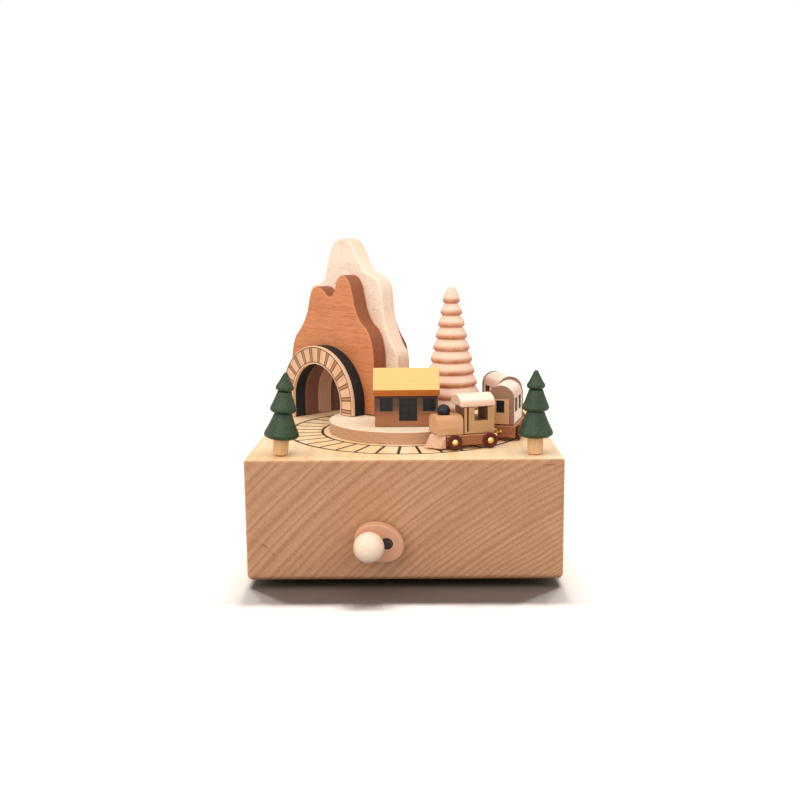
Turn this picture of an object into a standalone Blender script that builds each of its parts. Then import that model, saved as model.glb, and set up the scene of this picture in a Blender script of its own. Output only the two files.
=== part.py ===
"""Music box: a hand crank turns a pinned cylinder and carries a small wooden train round the case's top.

Metres, +Z up. X runs along the front wall and Y away from the viewer. The origin is on the floor, below the
middle of the whole object's bounding box.
"""
import math

import bmesh
import bpy
from mathutils import Matrix, Vector

MM = 0.001
GAP = 0.3 * MM                  # between a piece and its seat

# Case
CASE_WIDTH = 120.0 * MM
CASE_DEPTH = 120.0 * MM
CASE_HEIGHT = 46.7 * MM
CASE_EDGE = 1.6 * MM            # rounding of the outer edges
CASE_WALL = 10.0 * MM
DECK_THICKNESS = 3.2 * MM       # wood left above the hollow
CAVITY_CORNER = 14.0 * MM
CAVITY_FACETS = 5               # of each of the hollow's round corners
REBATE_LEDGE = 4.0 * MM         # step that the bottom plate lies against
BOTTOM_THICKNESS = 3.2 * MM
FOOT_HEIGHT = 2.8 * MM
FOOT_RADIUS = 5.5 * MM
FOOT_INSET_X = 26.0 * MM        # of a foot's middle from the case's sides
FOOT_INSET_Y = 20.0 * MM

# Screws
COMB_SCREW = {"head": 2.0 * MM, "head_height": 1.2 * MM, "shank": 0.9 * MM, "length": 4.2 * MM}
BED_SCREW = {"head": 2.4 * MM, "head_height": 1.4 * MM, "shank": 1.1 * MM, "length": 4.0 * MM}
CRANK_SCREW = {"head": 2.2 * MM, "head_height": 0.9 * MM, "shank": 1.0 * MM, "length": 2.0 * MM}

# Crank
CRANK_X = -6.5 * MM
CRANK_HEIGHT = 16.2 * MM        # above the case's underside
SHAFT_RADIUS = 1.5 * MM
CRANK_STANDOFF = 1.0 * MM       # from the front wall to the plate
PLATE_LENGTH = 18.9 * MM
PLATE_WIDTH = 14.3 * MM
PLATE_THICKNESS = 5.0 * MM
PLATE_EDGE = 0.7 * MM
OVAL_POINTS = 24
PLATE_CENTRE = (-2.85 * MM, 0.0)         # of the oval, from the crank's axis
PLATE_TILT = math.radians(-20.0)
SHAFT_SOCKET = 1.8 * MM         # how deep the shaft enters the plate
KNOB_RADIUS = 5.65 * MM
KNOB_BACK = 5.2 * MM            # from the ball's middle to its flat back
KNOB_CENTRE = (-6.4 * MM, 0.45 * MM)    # of the knob, from the crank's axis
KNOB_PIN_RADIUS = 1.5 * MM
KNOB_PIN_IN_PLATE = 3.2 * MM
KNOB_PIN_IN_KNOB = 6.8 * MM

# Worm drives, two on one shaft
THREAD_PITCH = 2.7 * MM
THREAD_RADIUS = 2.85 * MM       # also the journal's, so that the shaft goes in from outside
THREAD_TURNS = 2.5
THREAD_CREST = 1.0 / 12.0       # half the crest's width, in pitches
THREAD_FOOT = 3.0 / 12.0        # half the thread's width at its foot, in pitches
THREAD_SIDES = 12
TOOTH_CLEARANCE = 0.35 * MM     # from a crest to the other piece's root
TOOTH_TIP = 0.12                # half a tooth's width at its tip, in pitches
TOOTH_FOOT = 0.23               # half a tooth's width at its foot, in pitches
WHEEL_WIDTH = 3.0 * MM
CYLINDER_TEETH = 20
SPINDLE_TEETH = 10

# Movement
BED_THICKNESS = 2.5 * MM
BED_LEFT = 18.0 * MM            # reaches from the case's middle
BED_RIGHT = 31.0 * MM
BED_MARGIN = 4.0 * MM           # from the hollow's front wall
BED_FRONT = CASE_DEPTH / 2 - CASE_WALL - BED_MARGIN
BED_BACK = 16.0 * MM
BRACKET_THICKNESS = 3.0 * MM
BRACKET_HALF_WIDTH = 4.5 * MM
BRACKET_SEAT = 1.2 * MM         # how deep the loose bracket stands in the bed plate
SHAFT_BRACKET_Y = 11.5 * MM     # middle of the rear bracket, behind the spindle
ARBOR_INSET = 14.0 * MM         # of the arbor from the hollow's front wall
CYLINDER_Y = CASE_WALL + ARBOR_INSET - CASE_DEPTH / 2     # of the arbor, from the case's middle
CYLINDER_RADIUS = 6.5 * MM
CYLINDER_LENGTH = 24.0 * MM
CYLINDER_GAP = 3.0 * MM         # from the wheel to the drum
ARBOR_RADIUS = 1.2 * MM
ARBOR_END = 2.2 * MM            # from a bracket's middle plane inwards to the wheel or the drum, less its half
PIN_HEIGHT = 0.7 * MM
PIN_WIDTH = 0.5 * MM
PIN_SINK = 0.4 * MM
PINS_PER_TOOTH = 2
COMB_TEETH = 18
COMB_THICKNESS = 0.8 * MM
COMB_LENGTH = 15.0 * MM
TOOTH_LENGTH = 9.0 * MM
COMB_MARGIN = 1.5 * MM
COMB_SLOT = 0.35                # share of a tooth's pitch that is slot
COMB_SCREW_INSET = 4.5 * MM
BED_SCREWS = ((-11.0 * MM, 12.0 * MM), (26.0 * MM, -10.0 * MM))  # from the case's middle

# Spindle and magnet arm
SPINDLE_RADIUS = 1.6 * MM
SPINDLE_BOSS = 4.0 * MM         # radius of the foot bearing
SPINDLE_BOSS_HEIGHT = 4.0 * MM
SPINDLE_FOOT_DEPTH = 3.2 * MM
SPINDLE_HEAD_DEPTH = 1.6 * MM   # of its blind hole in the deck's underside
ARM_THICKNESS = 3.0 * MM
ARM_BELOW_DECK = 3.5 * MM
ARM_HUB = 6.0 * MM
ARM_HUB_HEIGHT = 5.5 * MM       # from the arm's top down
ARM_WIDTH = 10.0 * MM
ARM_TAIL = 14.0 * MM
MAGNET_RADIUS = 4.2 * MM
MAGNET_HEIGHT = 3.8 * MM
MAGNET_POCKET = 1.8 * MM

# Platform and track
TRACK_RADIUS = 42.75 * MM
PLATFORM_RADIUS = 32.5 * MM
PLATFORM_THICKNESS = 4.7 * MM
PLATFORM_EDGE = 0.4 * MM

# Mountain: boards across the track, each from its front face's place along the tunnel
MOUNTAIN_TURN = math.radians(-45.0)
TUNNEL_RADIUS = 16.6 * MM
TUNNEL_SPRING = 9.7 * MM        # height of the arch's centre above the deck
ARCH_RADIUS = 24.6 * MM
BOARD_THICKNESS = 7.7 * MM
ARCH_FACING_THICKNESS = 1.7 * MM
ARCH_BLOCK_THICKNESS = 5.4 * MM
MOUNTAIN_FRONT = -14.2 * MM

# House
HOUSE_X = 0.8 * MM
HOUSE_FRONT = 20.7 * MM         # from the platform's middle towards the viewer
HOUSE_WIDTH = 25.8 * MM
HOUSE_DEPTH = 11.4 * MM
EAVE_HEIGHT = 15.5 * MM         # top of the eave above the platform
ROOF_WIDTH = 27.2 * MM
ROOF_OVERHANG = 1.7 * MM
ROOF_RISE = 8.2 * MM
ROOF_THICKNESS = 2.6 * MM       # measured upright
PANE_DEPTH = 0.8 * MM
WINDOW_WIDTH = 5.2 * MM
WINDOW_HEIGHT = 5.4 * MM
DOOR_WIDTH = 7.4 * MM
DOOR_HEIGHT = 9.4 * MM
PANE_TOP = 11.9 * MM            # above the platform
LEFT_WINDOW_X = -8.2 * MM       # from the house's middle
RIGHT_WINDOW_X = 9.35 * MM
DOOR_X = 0.7 * MM

# Turned tree
TURNED_TREE_X = 20.2 * MM
TURNED_TREE_Y = 6.2 * MM
TURNED_TREE_HEIGHT = 56.0 * MM
TURNED_TREE_TIERS = 10
TURNED_TREE_PITCH = 5.04 * MM
TURNED_TREE_TIP = 1.7 * MM
TURNED_TREE_TOP_TIER = 7.1 * MM
TURNED_TREE_FIRST = 3.7 * MM    # radius under the top tier
TURNED_TREE_GROWTH = 1.06 * MM  # more radius for each lower tier
TURNED_TREE_TRUNK = 3.6 * MM
TURNED_TREE_STEP = 1.0 * MM     # how far a tier stands out over the one below it

# Small trees
SMALL_TREE_Y = -51.3 * MM
LEFT_TREE_X = -47.1 * MM
RIGHT_TREE_X = 49.7 * MM
LEFT_TREE_LEAN = math.radians(5.5)
TRUNK_RADIUS = 3.0 * MM
SMALL_TREE_TIERS = (            # underside height, widest radius, neck radius above it
    (6.9 * MM, 6.7 * MM, 3.3 * MM),
    (16.6 * MM, 5.1 * MM, 2.7 * MM),
    (24.8 * MM, 3.5 * MM, 0.5 * MM),
)
SMALL_TREE_TOP = 32.0 * MM
TIER_LIP = 1.6 * MM             # height of a tier's rounded lower edge
TIER_UNDERCUT = 1.1 * MM
TIER_BELLY = 0.25 * MM

# Vehicles
CHASSIS_WIDTH = 12.2 * MM
CHASSIS_BOTTOM = 1.6 * MM       # above the deck
BODY_WIDTH = 10.6 * MM
WHEEL_RADIUS = 3.0 * MM
WHEEL_THICKNESS = 1.2 * MM
WHEEL_EDGE = 0.25 * MM
RAIL_GAP = 0.2 * MM             # from a wheel to the deck
AXLE_RADIUS = 0.8 * MM
AXLE_HEAD = 1.2 * MM
AXLE_HEAD_HEIGHT = 0.5 * MM
EYE_WIRE = 0.4 * MM
EYE_RADIUS = 1.45 * MM
EYE_START = 0.5 * MM            # of the wire from the chassis
EYE_HEIGHT = 4.0 * MM
EYE_TURN = math.radians(312)    # how far round the loop goes
EYE_POINTS = 13
LINK_OFFSET = 1.2 * MM          # between the middles of two linked loops

# Locomotive, x from the middle of its wheelbase towards its front
LOCO_PLACE = (24.4 * MM, -35.9 * MM)    # from the track's centre
LOCO_HEADING = math.radians(180.0 + 18.0)
LOCO_AXLE = 7.35 * MM
LOCO_REAR = -9.15 * MM
LOCO_FRONT = 10.2 * MM          # of the chassis
LOCO_CHASSIS_TOP = 5.6 * MM
CATCHER_TIP = 17.4 * MM         # its foot, in the middle
CATCHER_SIDE = 13.0 * MM        # its foot, at the sides
CATCHER_SLOPE = 2.2 * MM        # how far its top stands back from its foot
CATCHER_WIDTH = 11.6 * MM
CATCHER_CLEAR = 0.8 * MM
BOILER_FRONT = 13.8 * MM
BOILER_REAR = 3.0 * MM
BOILER_TOP = 13.3 * MM
BOILER_ROUND = 2.9 * MM
CHIMNEY_RADIUS = 2.6 * MM
CHIMNEY_X = 9.4 * MM
CHIMNEY_HEIGHT = 14.7 * MM
CAB_REAR = -9.8 * MM
CAB_GROOVE = 1.7 * MM           # front edge of the upright groove behind the cab's front board
CAB_SLOT = 0.8 * MM             # the groove's width and depth
CAB_TOP = 16.3 * MM
CAB_WINDOW = (-7.0 * MM, -1.4 * MM)
CAB_SILL = 10.9 * MM
ROOF_WIDTH_LOCO = 11.4 * MM
ROOF_RISE_LOCO = 4.0 * MM
ROOF_FRONT_LOCO = 4.4 * MM
ROOF_REAR_LOCO = -10.0 * MM
LOCO_MAGNET_X = 0.0 * MM
LOCO_MAGNET_RADIUS = 3.0 * MM
LOCO_MAGNET_HEIGHT = 2.0 * MM

# Wagons, x from the middle of each towards its front
WAGON_PLACES = ((41.6 * MM, -15.9 * MM), (42.5 * MM, 11.4 * MM))
WAGON_HEADINGS = (math.radians(-90.0 - 16.0), math.radians(-90.0 + 15.0))
WAGON_HALF_LENGTH = 11.5 * MM
WAGON_AXLE = 7.0 * MM
WAGON_CHASSIS_TOP = 6.4 * MM
WAGON_END = 10.7 * MM           # outer face of an end board
WAGON_END_THICKNESS = 1.2 * MM
WAGON_END_RADIUS = 5.5 * MM
WAGON_SPRING = 17.0 * MM        # height where the roof's round starts
WAGON_SILL = 11.2 * MM
WAGON_WINDOW = 6.0 * MM
WAGON_POST = 2.2 * MM
WAGON_DOOR_WIDTH = 7.2 * MM
WAGON_DOOR_THICKNESS = 0.6 * MM
WAGON_DOOR_TOP = 17.2 * MM
WAGON_DOOR_WINDOW = (3.3 * MM, 5.0 * MM)
DOOR_RAIL = 0.6 * MM            # wood left above the door's window

# Worked out from the sizes above
CRANK_REACH = CRANK_STANDOFF + PLATE_THICKNESS + GAP + KNOB_BACK + KNOB_RADIUS
CASE_Y = CRANK_REACH / 2
DECK = FOOT_HEIGHT + CASE_HEIGHT
PLATFORM_TOP = DECK + GAP + PLATFORM_THICKNESS
PLATFORM_RISE = PLATFORM_TOP - DECK
CRANK_Z = FOOT_HEIGHT + CRANK_HEIGHT
FRONT_FACE = CASE_Y - CASE_DEPTH / 2
PLATE_BACK = FRONT_FACE - CRANK_STANDOFF
PLATE_FACE = PLATE_BACK - PLATE_THICKNESS
CAVITY_TOP = DECK - DECK_THICKNESS
BED_Z = FOOT_HEIGHT + BOTTOM_THICKNESS + GAP
BED_TOP = BED_Z + BED_THICKNESS


def pitch_radius(teeth):
    """A worm wheel's pitch radius, from the thread's pitch."""
    return teeth * THREAD_PITCH / (2 * math.pi)


THREAD_PITCH_RADIUS = -CRANK_X - pitch_radius(SPINDLE_TEETH)
CYLINDER_Z = CRANK_Z + THREAD_PITCH_RADIUS + pitch_radius(CYLINDER_TEETH)

PALE_WOOD = ((0.86, 0.63, 0.36), 0.55, 0.0)
CASE_WOOD = ((0.78, 0.47, 0.22), 0.55, 0.0)
RED_WOOD = ((0.52, 0.17, 0.06), 0.5, 0.0)
DARK_WOOD = ((0.16, 0.055, 0.03), 0.5, 0.0)
ORANGE_WOOD = ((0.72, 0.38, 0.14), 0.5, 0.0)
PEACH_WOOD = ((0.85, 0.46, 0.27), 0.5, 0.0)
WHITE_WOOD = ((0.88, 0.82, 0.68), 0.5, 0.0)
BLACK_STAIN = ((0.015, 0.013, 0.012), 0.5, 0.0)
PANE_STAIN = ((0.012, 0.022, 0.026), 0.4, 0.0)
GREEN_STAIN = ((0.03, 0.10, 0.045), 0.55, 0.0)
NAVY_STAIN = ((0.01, 0.03, 0.045), 0.35, 0.0)
WHEEL_RED = ((0.28, 0.02, 0.015), 0.45, 0.0)
BRASS = ((0.80, 0.55, 0.20), 0.3, 1.0)
STEEL = ((0.58, 0.58, 0.60), 0.3, 1.0)
MAGNET_METAL = ((0.45, 0.45, 0.47), 0.25, 1.0)
FELT = ((0.05, 0.045, 0.04), 0.9, 0.0)


def clear_scene():
    """Remove the objects of the file that the script is run in."""
    for old in list(bpy.data.objects):
        bpy.data.objects.remove(old, do_unlink=True)


clear_scene()
PARTS = bpy.data.collections.new("music_box")
CUTTERS = bpy.data.collections.new("cutters")
bpy.context.scene.collection.children.link(PARTS)
bpy.context.scene.collection.children.link(CUTTERS)


def set_material(piece, name, look):
    """Give a piece a Principled material of its own."""
    colour, roughness, metallic = look
    material = bpy.data.materials.new(name)
    material.use_nodes = True
    shader = material.node_tree.nodes["Principled BSDF"]
    shader.inputs["Base Color"].default_value = (*colour, 1.0)
    shader.inputs["Roughness"].default_value = roughness
    shader.inputs["Metallic"].default_value = metallic
    material.diffuse_color = (*colour, 1.0)
    piece.data.materials.clear()
    piece.data.materials.append(material)


def frame(name, matrix, parent=None):
    """An empty that carries pieces; a moving one stands on its joint's axis."""
    empty = bpy.data.objects.new(name, None)
    empty.empty_display_size = 5 * MM
    PARTS.objects.link(empty)
    empty.parent = parent
    empty.matrix_basis = matrix
    bpy.context.view_layer.update()
    return empty


def add_piece(name, mesh, look, parent=None, matrix=None):
    """Link a mesh as a piece, or as a cutter where it has no look."""
    piece = bpy.data.objects.new(name, mesh)
    if look is None:
        CUTTERS.objects.link(piece)
        piece.hide_render = True
        piece.display_type = "WIRE"
    else:
        PARTS.objects.link(piece)
        set_material(piece, name, look)
    piece.parent = parent
    piece.matrix_basis = matrix or Matrix.Identity(4)
    return piece


def mesh_of(name, shape):
    """Turn a bmesh into a mesh, smooth on its round faces."""
    mesh = bpy.data.meshes.new(name)
    shape.to_mesh(mesh)
    shape.free()
    mesh.shade_smooth()
    mesh.set_sharp_from_angle(angle=math.radians(35))
    return mesh


def block(name, low, high, look=None, parent=None, matrix=None, edge=0.0, segments=2):
    """A box between two corners, its edges rounded by a live Bevel."""
    shape = bmesh.new()
    size = Vector(high) - Vector(low)
    middle = (Vector(high) + Vector(low)) / 2
    place = Matrix.Translation(middle) @ Matrix.Diagonal((*size, 1.0))
    bmesh.ops.create_cube(shape, size=1.0, matrix=place)
    piece = add_piece(name, mesh_of(name, shape), look, parent, matrix)
    if edge:
        round_edges(piece, edge, segments)
    return piece


def round_edges(piece, width, segments=2):
    """Round the sharp edges of a piece."""
    bevel = piece.modifiers.new("rounded edges", "BEVEL")
    bevel.width = width
    bevel.segments = segments
    bevel.limit_method = "ANGLE"
    bevel.angle_limit = math.radians(40)


def rod(name, radius, start, end, look=None, parent=None, sides=20):
    """A cylinder from one point to another."""
    start = Vector(start)
    end = Vector(end)
    along = end - start
    turn = along.to_track_quat("Z", "Y").to_matrix().to_4x4()
    place = Matrix.Translation((start + end) / 2) @ turn
    shape = bmesh.new()
    bmesh.ops.create_cone(shape, cap_ends=True, segments=sides, radius1=radius, radius2=radius,
                          depth=along.length, matrix=place)
    return add_piece(name, mesh_of(name, shape), look, parent)


def ball(name, radius, centre, look=None, parent=None, sides=16):
    """A sphere."""
    shape = bmesh.new()
    bmesh.ops.create_uvsphere(shape, u_segments=sides, v_segments=sides // 2, radius=radius,
                              matrix=Matrix.Translation(centre))
    return add_piece(name, mesh_of(name, shape), look, parent)


def turned(name, profile, look, parent=None, matrix=None, steps=24, ring=False):
    """A turned piece: radius and height pairs, down the outer side; a ring's profile closes on itself."""
    mesh = bpy.data.meshes.new(name)
    points = [(radius, 0.0, height) for radius, height in profile]
    edges = [(index, index + 1) for index in range(len(points) - 1)]
    if ring:
        edges.append((len(points) - 1, 0))
    mesh.from_pydata(points, edges, [])
    piece = add_piece(name, mesh, look, parent, matrix)
    lathe = piece.modifiers.new("turned on the lathe", "SCREW")
    lathe.axis = "Z"
    lathe.steps = steps
    lathe.render_steps = steps
    lathe.use_merge_vertices = True
    lathe.merge_threshold = 0.00001
    return piece


def cut(piece, *cutters):
    """Take cutters out of a piece."""
    for cutter in cutters:
        saw = piece.modifiers.new(cutter.name, "BOOLEAN")
        saw.operation = "DIFFERENCE"
        saw.solver = "EXACT"
        saw.object = cutter


def join(piece, *additions):
    """Join other shapes to a piece."""
    for addition in additions:
        glue = piece.modifiers.new(addition.name, "BOOLEAN")
        glue.operation = "UNION"
        glue.solver = "EXACT"
        glue.object = addition


def as_mesh(curve_piece, look, parent=None):
    """Replace a curve by the mesh that it draws, its caps welded on."""
    bpy.context.view_layer.update()
    drawn = curve_piece.evaluated_get(bpy.context.evaluated_depsgraph_get())
    mesh = bpy.data.meshes.new_from_object(drawn)
    shape = bmesh.new()
    shape.from_mesh(mesh)
    bmesh.ops.remove_doubles(shape, verts=shape.verts, dist=0.000005)
    name = curve_piece.name
    place = curve_piece.matrix_world.copy()
    old = curve_piece.data
    bpy.data.objects.remove(curve_piece)
    bpy.data.curves.remove(old)
    piece = add_piece(name, mesh_of(name, shape), look, parent)
    bpy.context.view_layer.update()
    piece.matrix_world = place
    bpy.context.view_layer.update()
    return piece


def board(name, outline, thickness, place, look, parent=None, smooth=(), resolution=3):
    """A flat outline given thickness: points of the outline, smooth ones by their index."""
    curve = bpy.data.curves.new(name, "CURVE")
    curve.dimensions = "2D"
    curve.fill_mode = "BOTH"
    curve.extrude = thickness / 2
    curve.resolution_u = resolution
    spline = curve.splines.new("BEZIER")
    spline.bezier_points.add(len(outline) - 1)
    spline.use_cyclic_u = True
    for index, (point, (across, up)) in enumerate(zip(spline.bezier_points, outline)):
        point.co = (across, up, 0.0)
        kind = "AUTO" if index in smooth else "VECTOR"
        point.handle_left_type = kind
        point.handle_right_type = kind
    piece = bpy.data.objects.new(name, curve)
    PARTS.objects.link(piece)
    piece.parent = parent
    piece.matrix_basis = place
    return as_mesh(piece, look, parent)


def upright(across, towards, origin):
    """A board's place: its outline's x runs along across, its y up, and its thickness along towards."""
    across = Vector(across).normalized()
    towards = Vector(towards).normalized()
    turn = Matrix((across, (0, 0, 1), towards)).transposed().to_4x4()
    return Matrix.Translation(origin) @ turn


def arc(centre, radius, start, end, count):
    """Points on an arc, both ends included; angles in degrees."""
    points = []
    for index in range(count + 1):
        angle = math.radians(start + (end - start) * index / count)
        points.append((centre[0] + radius * math.cos(angle), centre[1] + radius * math.sin(angle)))
    return points


def screw(name, size, head_top, down, look, parent=None):
    """A cheese-headed screw with a blind drive hole, from the middle of its head's top face."""
    top = Vector(head_top)
    turn = Vector(down).to_track_quat("-Z", "Y").to_matrix().to_4x4()
    drive = size["head"] * 0.45
    depth = size["head_height"] * 0.5
    bottom = -size["head_height"] - size["length"]
    profile = [(0, -depth), (drive, -depth), (drive, 0), (size["head"], 0), (size["head"], -size["head_height"]),
               (size["shank"], -size["head_height"]), (size["shank"], bottom), (0, bottom)]
    return turned(name, profile, look, parent, Matrix.Translation(top) @ turn, steps=12)


def make_case():
    """The case, milled from one block and open below, with its bottom plate and feet."""
    half_x = CASE_WIDTH / 2
    half_y = CASE_DEPTH / 2
    case = block("case", (-half_x, CASE_Y - half_y, FOOT_HEIGHT), (half_x, CASE_Y + half_y, DECK),
                 CASE_WOOD, edge=CASE_EDGE, segments=3)
    inner_x = half_x - CASE_WALL
    inner_y = half_y - CASE_WALL
    below = FOOT_HEIGHT - CAVITY_CORNER
    cavity = block("cavity_cutter", (-inner_x, CASE_Y - inner_y, below),
                   (inner_x, CASE_Y + inner_y, CAVITY_TOP))
    for edge in cavity.data.edges:
        ends = [cavity.data.vertices[index].co for index in edge.vertices]
        upright_edge = abs(ends[0].z - ends[1].z) > MM
        weight = cavity.data.attributes.get("bevel_weight_edge")
        if weight is None:
            weight = cavity.data.attributes.new("bevel_weight_edge", "FLOAT", "EDGE")
        weight.data[edge.index].value = 1.0 if upright_edge else 0.0
    corners = cavity.modifiers.new("round corners", "BEVEL")
    corners.limit_method = "WEIGHT"
    corners.width = CAVITY_CORNER
    corners.segments = CAVITY_FACETS
    ledge_x = inner_x + REBATE_LEDGE
    ledge_y = inner_y + REBATE_LEDGE
    rebate = block("rebate_cutter", (-ledge_x, CASE_Y - ledge_y, below),
                   (ledge_x, CASE_Y + ledge_y, FOOT_HEIGHT + BOTTOM_THICKNESS + GAP))
    crank_hole = rod("crank_hole_cutter", THREAD_RADIUS + GAP, (CRANK_X, FRONT_FACE - CASE_WALL, CRANK_Z),
                     (CRANK_X, FRONT_FACE + 2 * CASE_WALL, CRANK_Z))
    spindle_hole = rod("spindle_head_cutter", SPINDLE_RADIUS + GAP, (0, CASE_Y, CAVITY_TOP - MM),
                       (0, CASE_Y, CAVITY_TOP + SPINDLE_HEAD_DEPTH), sides=16)
    cut(case, cavity, rebate, crank_hole, spindle_hole)
    block("bottom_plate", (-ledge_x + GAP, CASE_Y - ledge_y + GAP, FOOT_HEIGHT),
          (ledge_x - GAP, CASE_Y + ledge_y - GAP, FOOT_HEIGHT + BOTTOM_THICKNESS), ORANGE_WOOD)
    for y_mark, side_y in (("front", -1), ("rear", 1)):
        for x_mark, side_x in (("left", -1), ("right", 1)):
            x = side_x * (half_x - FOOT_INSET_X)
            y = CASE_Y + side_y * (half_y - FOOT_INSET_Y)
            rod(f"{y_mark}_{x_mark}_foot", FOOT_RADIUS, (x, y, 0), (x, y, FOOT_HEIGHT - GAP), FELT)


def axis_place(origin, axis):
    """A turned piece's place: its height runs along axis."""
    turn = Vector(axis).to_track_quat("Z", "Y").to_matrix().to_4x4()
    return Matrix.Translation(origin) @ turn


def thread_height(phase):
    """How far a thread stands out, from 0 to 1, at a phase in pitches from its crest's middle."""
    away = abs((phase + 0.5) % 1.0 - 0.5)
    return min(1.0, max(0.0, (THREAD_FOOT - away) / (THREAD_FOOT - THREAD_CREST)))


def worm_rings(middle, phase_at_middle):
    """Places along the shaft and radii round it for one left-hand worm."""
    rings = []
    count = int(THREAD_TURNS * THREAD_SIDES)
    for index in range(count + 1):
        along = middle + THREAD_PITCH * (index / THREAD_SIDES - THREAD_TURNS / 2)
        radii = []
        for side in range(THREAD_SIDES):
            phase = (along - middle) / THREAD_PITCH + side / THREAD_SIDES - phase_at_middle
            height = thread_height(phase) if 0 < index < count else 0.0
            radii.append(SHAFT_RADIUS + (THREAD_RADIUS - SHAFT_RADIUS) * height)
        rings.append((along, radii))
    return rings


def make_worm_shaft(parent):
    """The crank shaft: a journal in the wall, a worm under the cylinder and one beside the spindle."""
    plain = [SHAFT_RADIUS] * THREAD_SIDES
    journal = [THREAD_RADIUS] * THREAD_SIDES
    front = PLATE_BACK - SHAFT_SOCKET + GAP
    back = CASE_Y + SHAFT_BRACKET_Y + BRACKET_THICKNESS / 2
    rings = [(front, plain), (PLATE_BACK + GAP, plain), (PLATE_BACK + GAP, journal),
             (FRONT_FACE + CASE_WALL, journal), (FRONT_FACE + CASE_WALL, plain)]
    rings += worm_rings(CASE_Y + CYLINDER_Y, 0.0)
    rings += worm_rings(CASE_Y, 0.25)
    rings.append((back, plain))
    shape = bmesh.new()
    loops = []
    for along, radii in rings:
        loop = []
        for side, radius in enumerate(radii):
            angle = 2 * math.pi * side / THREAD_SIDES
            loop.append(shape.verts.new((radius * math.sin(angle), along, radius * math.cos(angle))))
        loops.append(loop)
    for first, second in zip(loops, loops[1:]):
        for side in range(THREAD_SIDES):
            after = (side + 1) % THREAD_SIDES
            shape.faces.new((first[side], first[after], second[after], second[side]))
    shape.faces.new(loops[0])
    shape.faces.new(loops[-1])
    bmesh.ops.recalc_face_normals(shape, faces=shape.faces)
    add_piece("worm_shaft", mesh_of("worm_shaft", shape), STEEL, parent)


def worm_wheel(name, teeth, parent, place):
    """A worm wheel to join to its shaft, on its local Z axis; a gap between teeth lies at its -X."""
    distance = THREAD_PITCH_RADIUS + pitch_radius(teeth)
    tip = distance - SHAFT_RADIUS - TOOTH_CLEARANCE
    root = distance - THREAD_RADIUS - TOOTH_CLEARANCE
    step = 2 * math.pi / teeth
    shape = bmesh.new()
    rim = []
    for tooth in range(teeth):
        middle = math.pi + step * (tooth + 0.5)
        for radius, half in ((root, -TOOTH_FOOT), (tip, -TOOTH_TIP), (tip, TOOTH_TIP), (root, TOOTH_FOOT)):
            angle = middle + half * step
            rim.append(shape.verts.new((radius * math.cos(angle), radius * math.sin(angle), 0)))
    slant = THREAD_PITCH / (2 * math.pi * THREAD_PITCH_RADIUS) / pitch_radius(teeth)
    lower = shape.faces.new(rim)
    lower.normal_flip()
    grown = bmesh.ops.extrude_face_region(shape, geom=[lower])
    raised = [item for item in grown["geom"] if isinstance(item, bmesh.types.BMVert)]
    bmesh.ops.translate(shape, verts=shape.verts, vec=(0, 0, -WHEEL_WIDTH / 2))
    bmesh.ops.translate(shape, verts=raised, vec=(0, 0, WHEEL_WIDTH))
    for vert in shape.verts:
        vert.co = Matrix.Rotation(-slant * vert.co.z, 3, "Z") @ vert.co
    bmesh.ops.recalc_face_normals(shape, faces=shape.faces)
    return add_piece(name, mesh_of(name, shape), None, parent, place)


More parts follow.
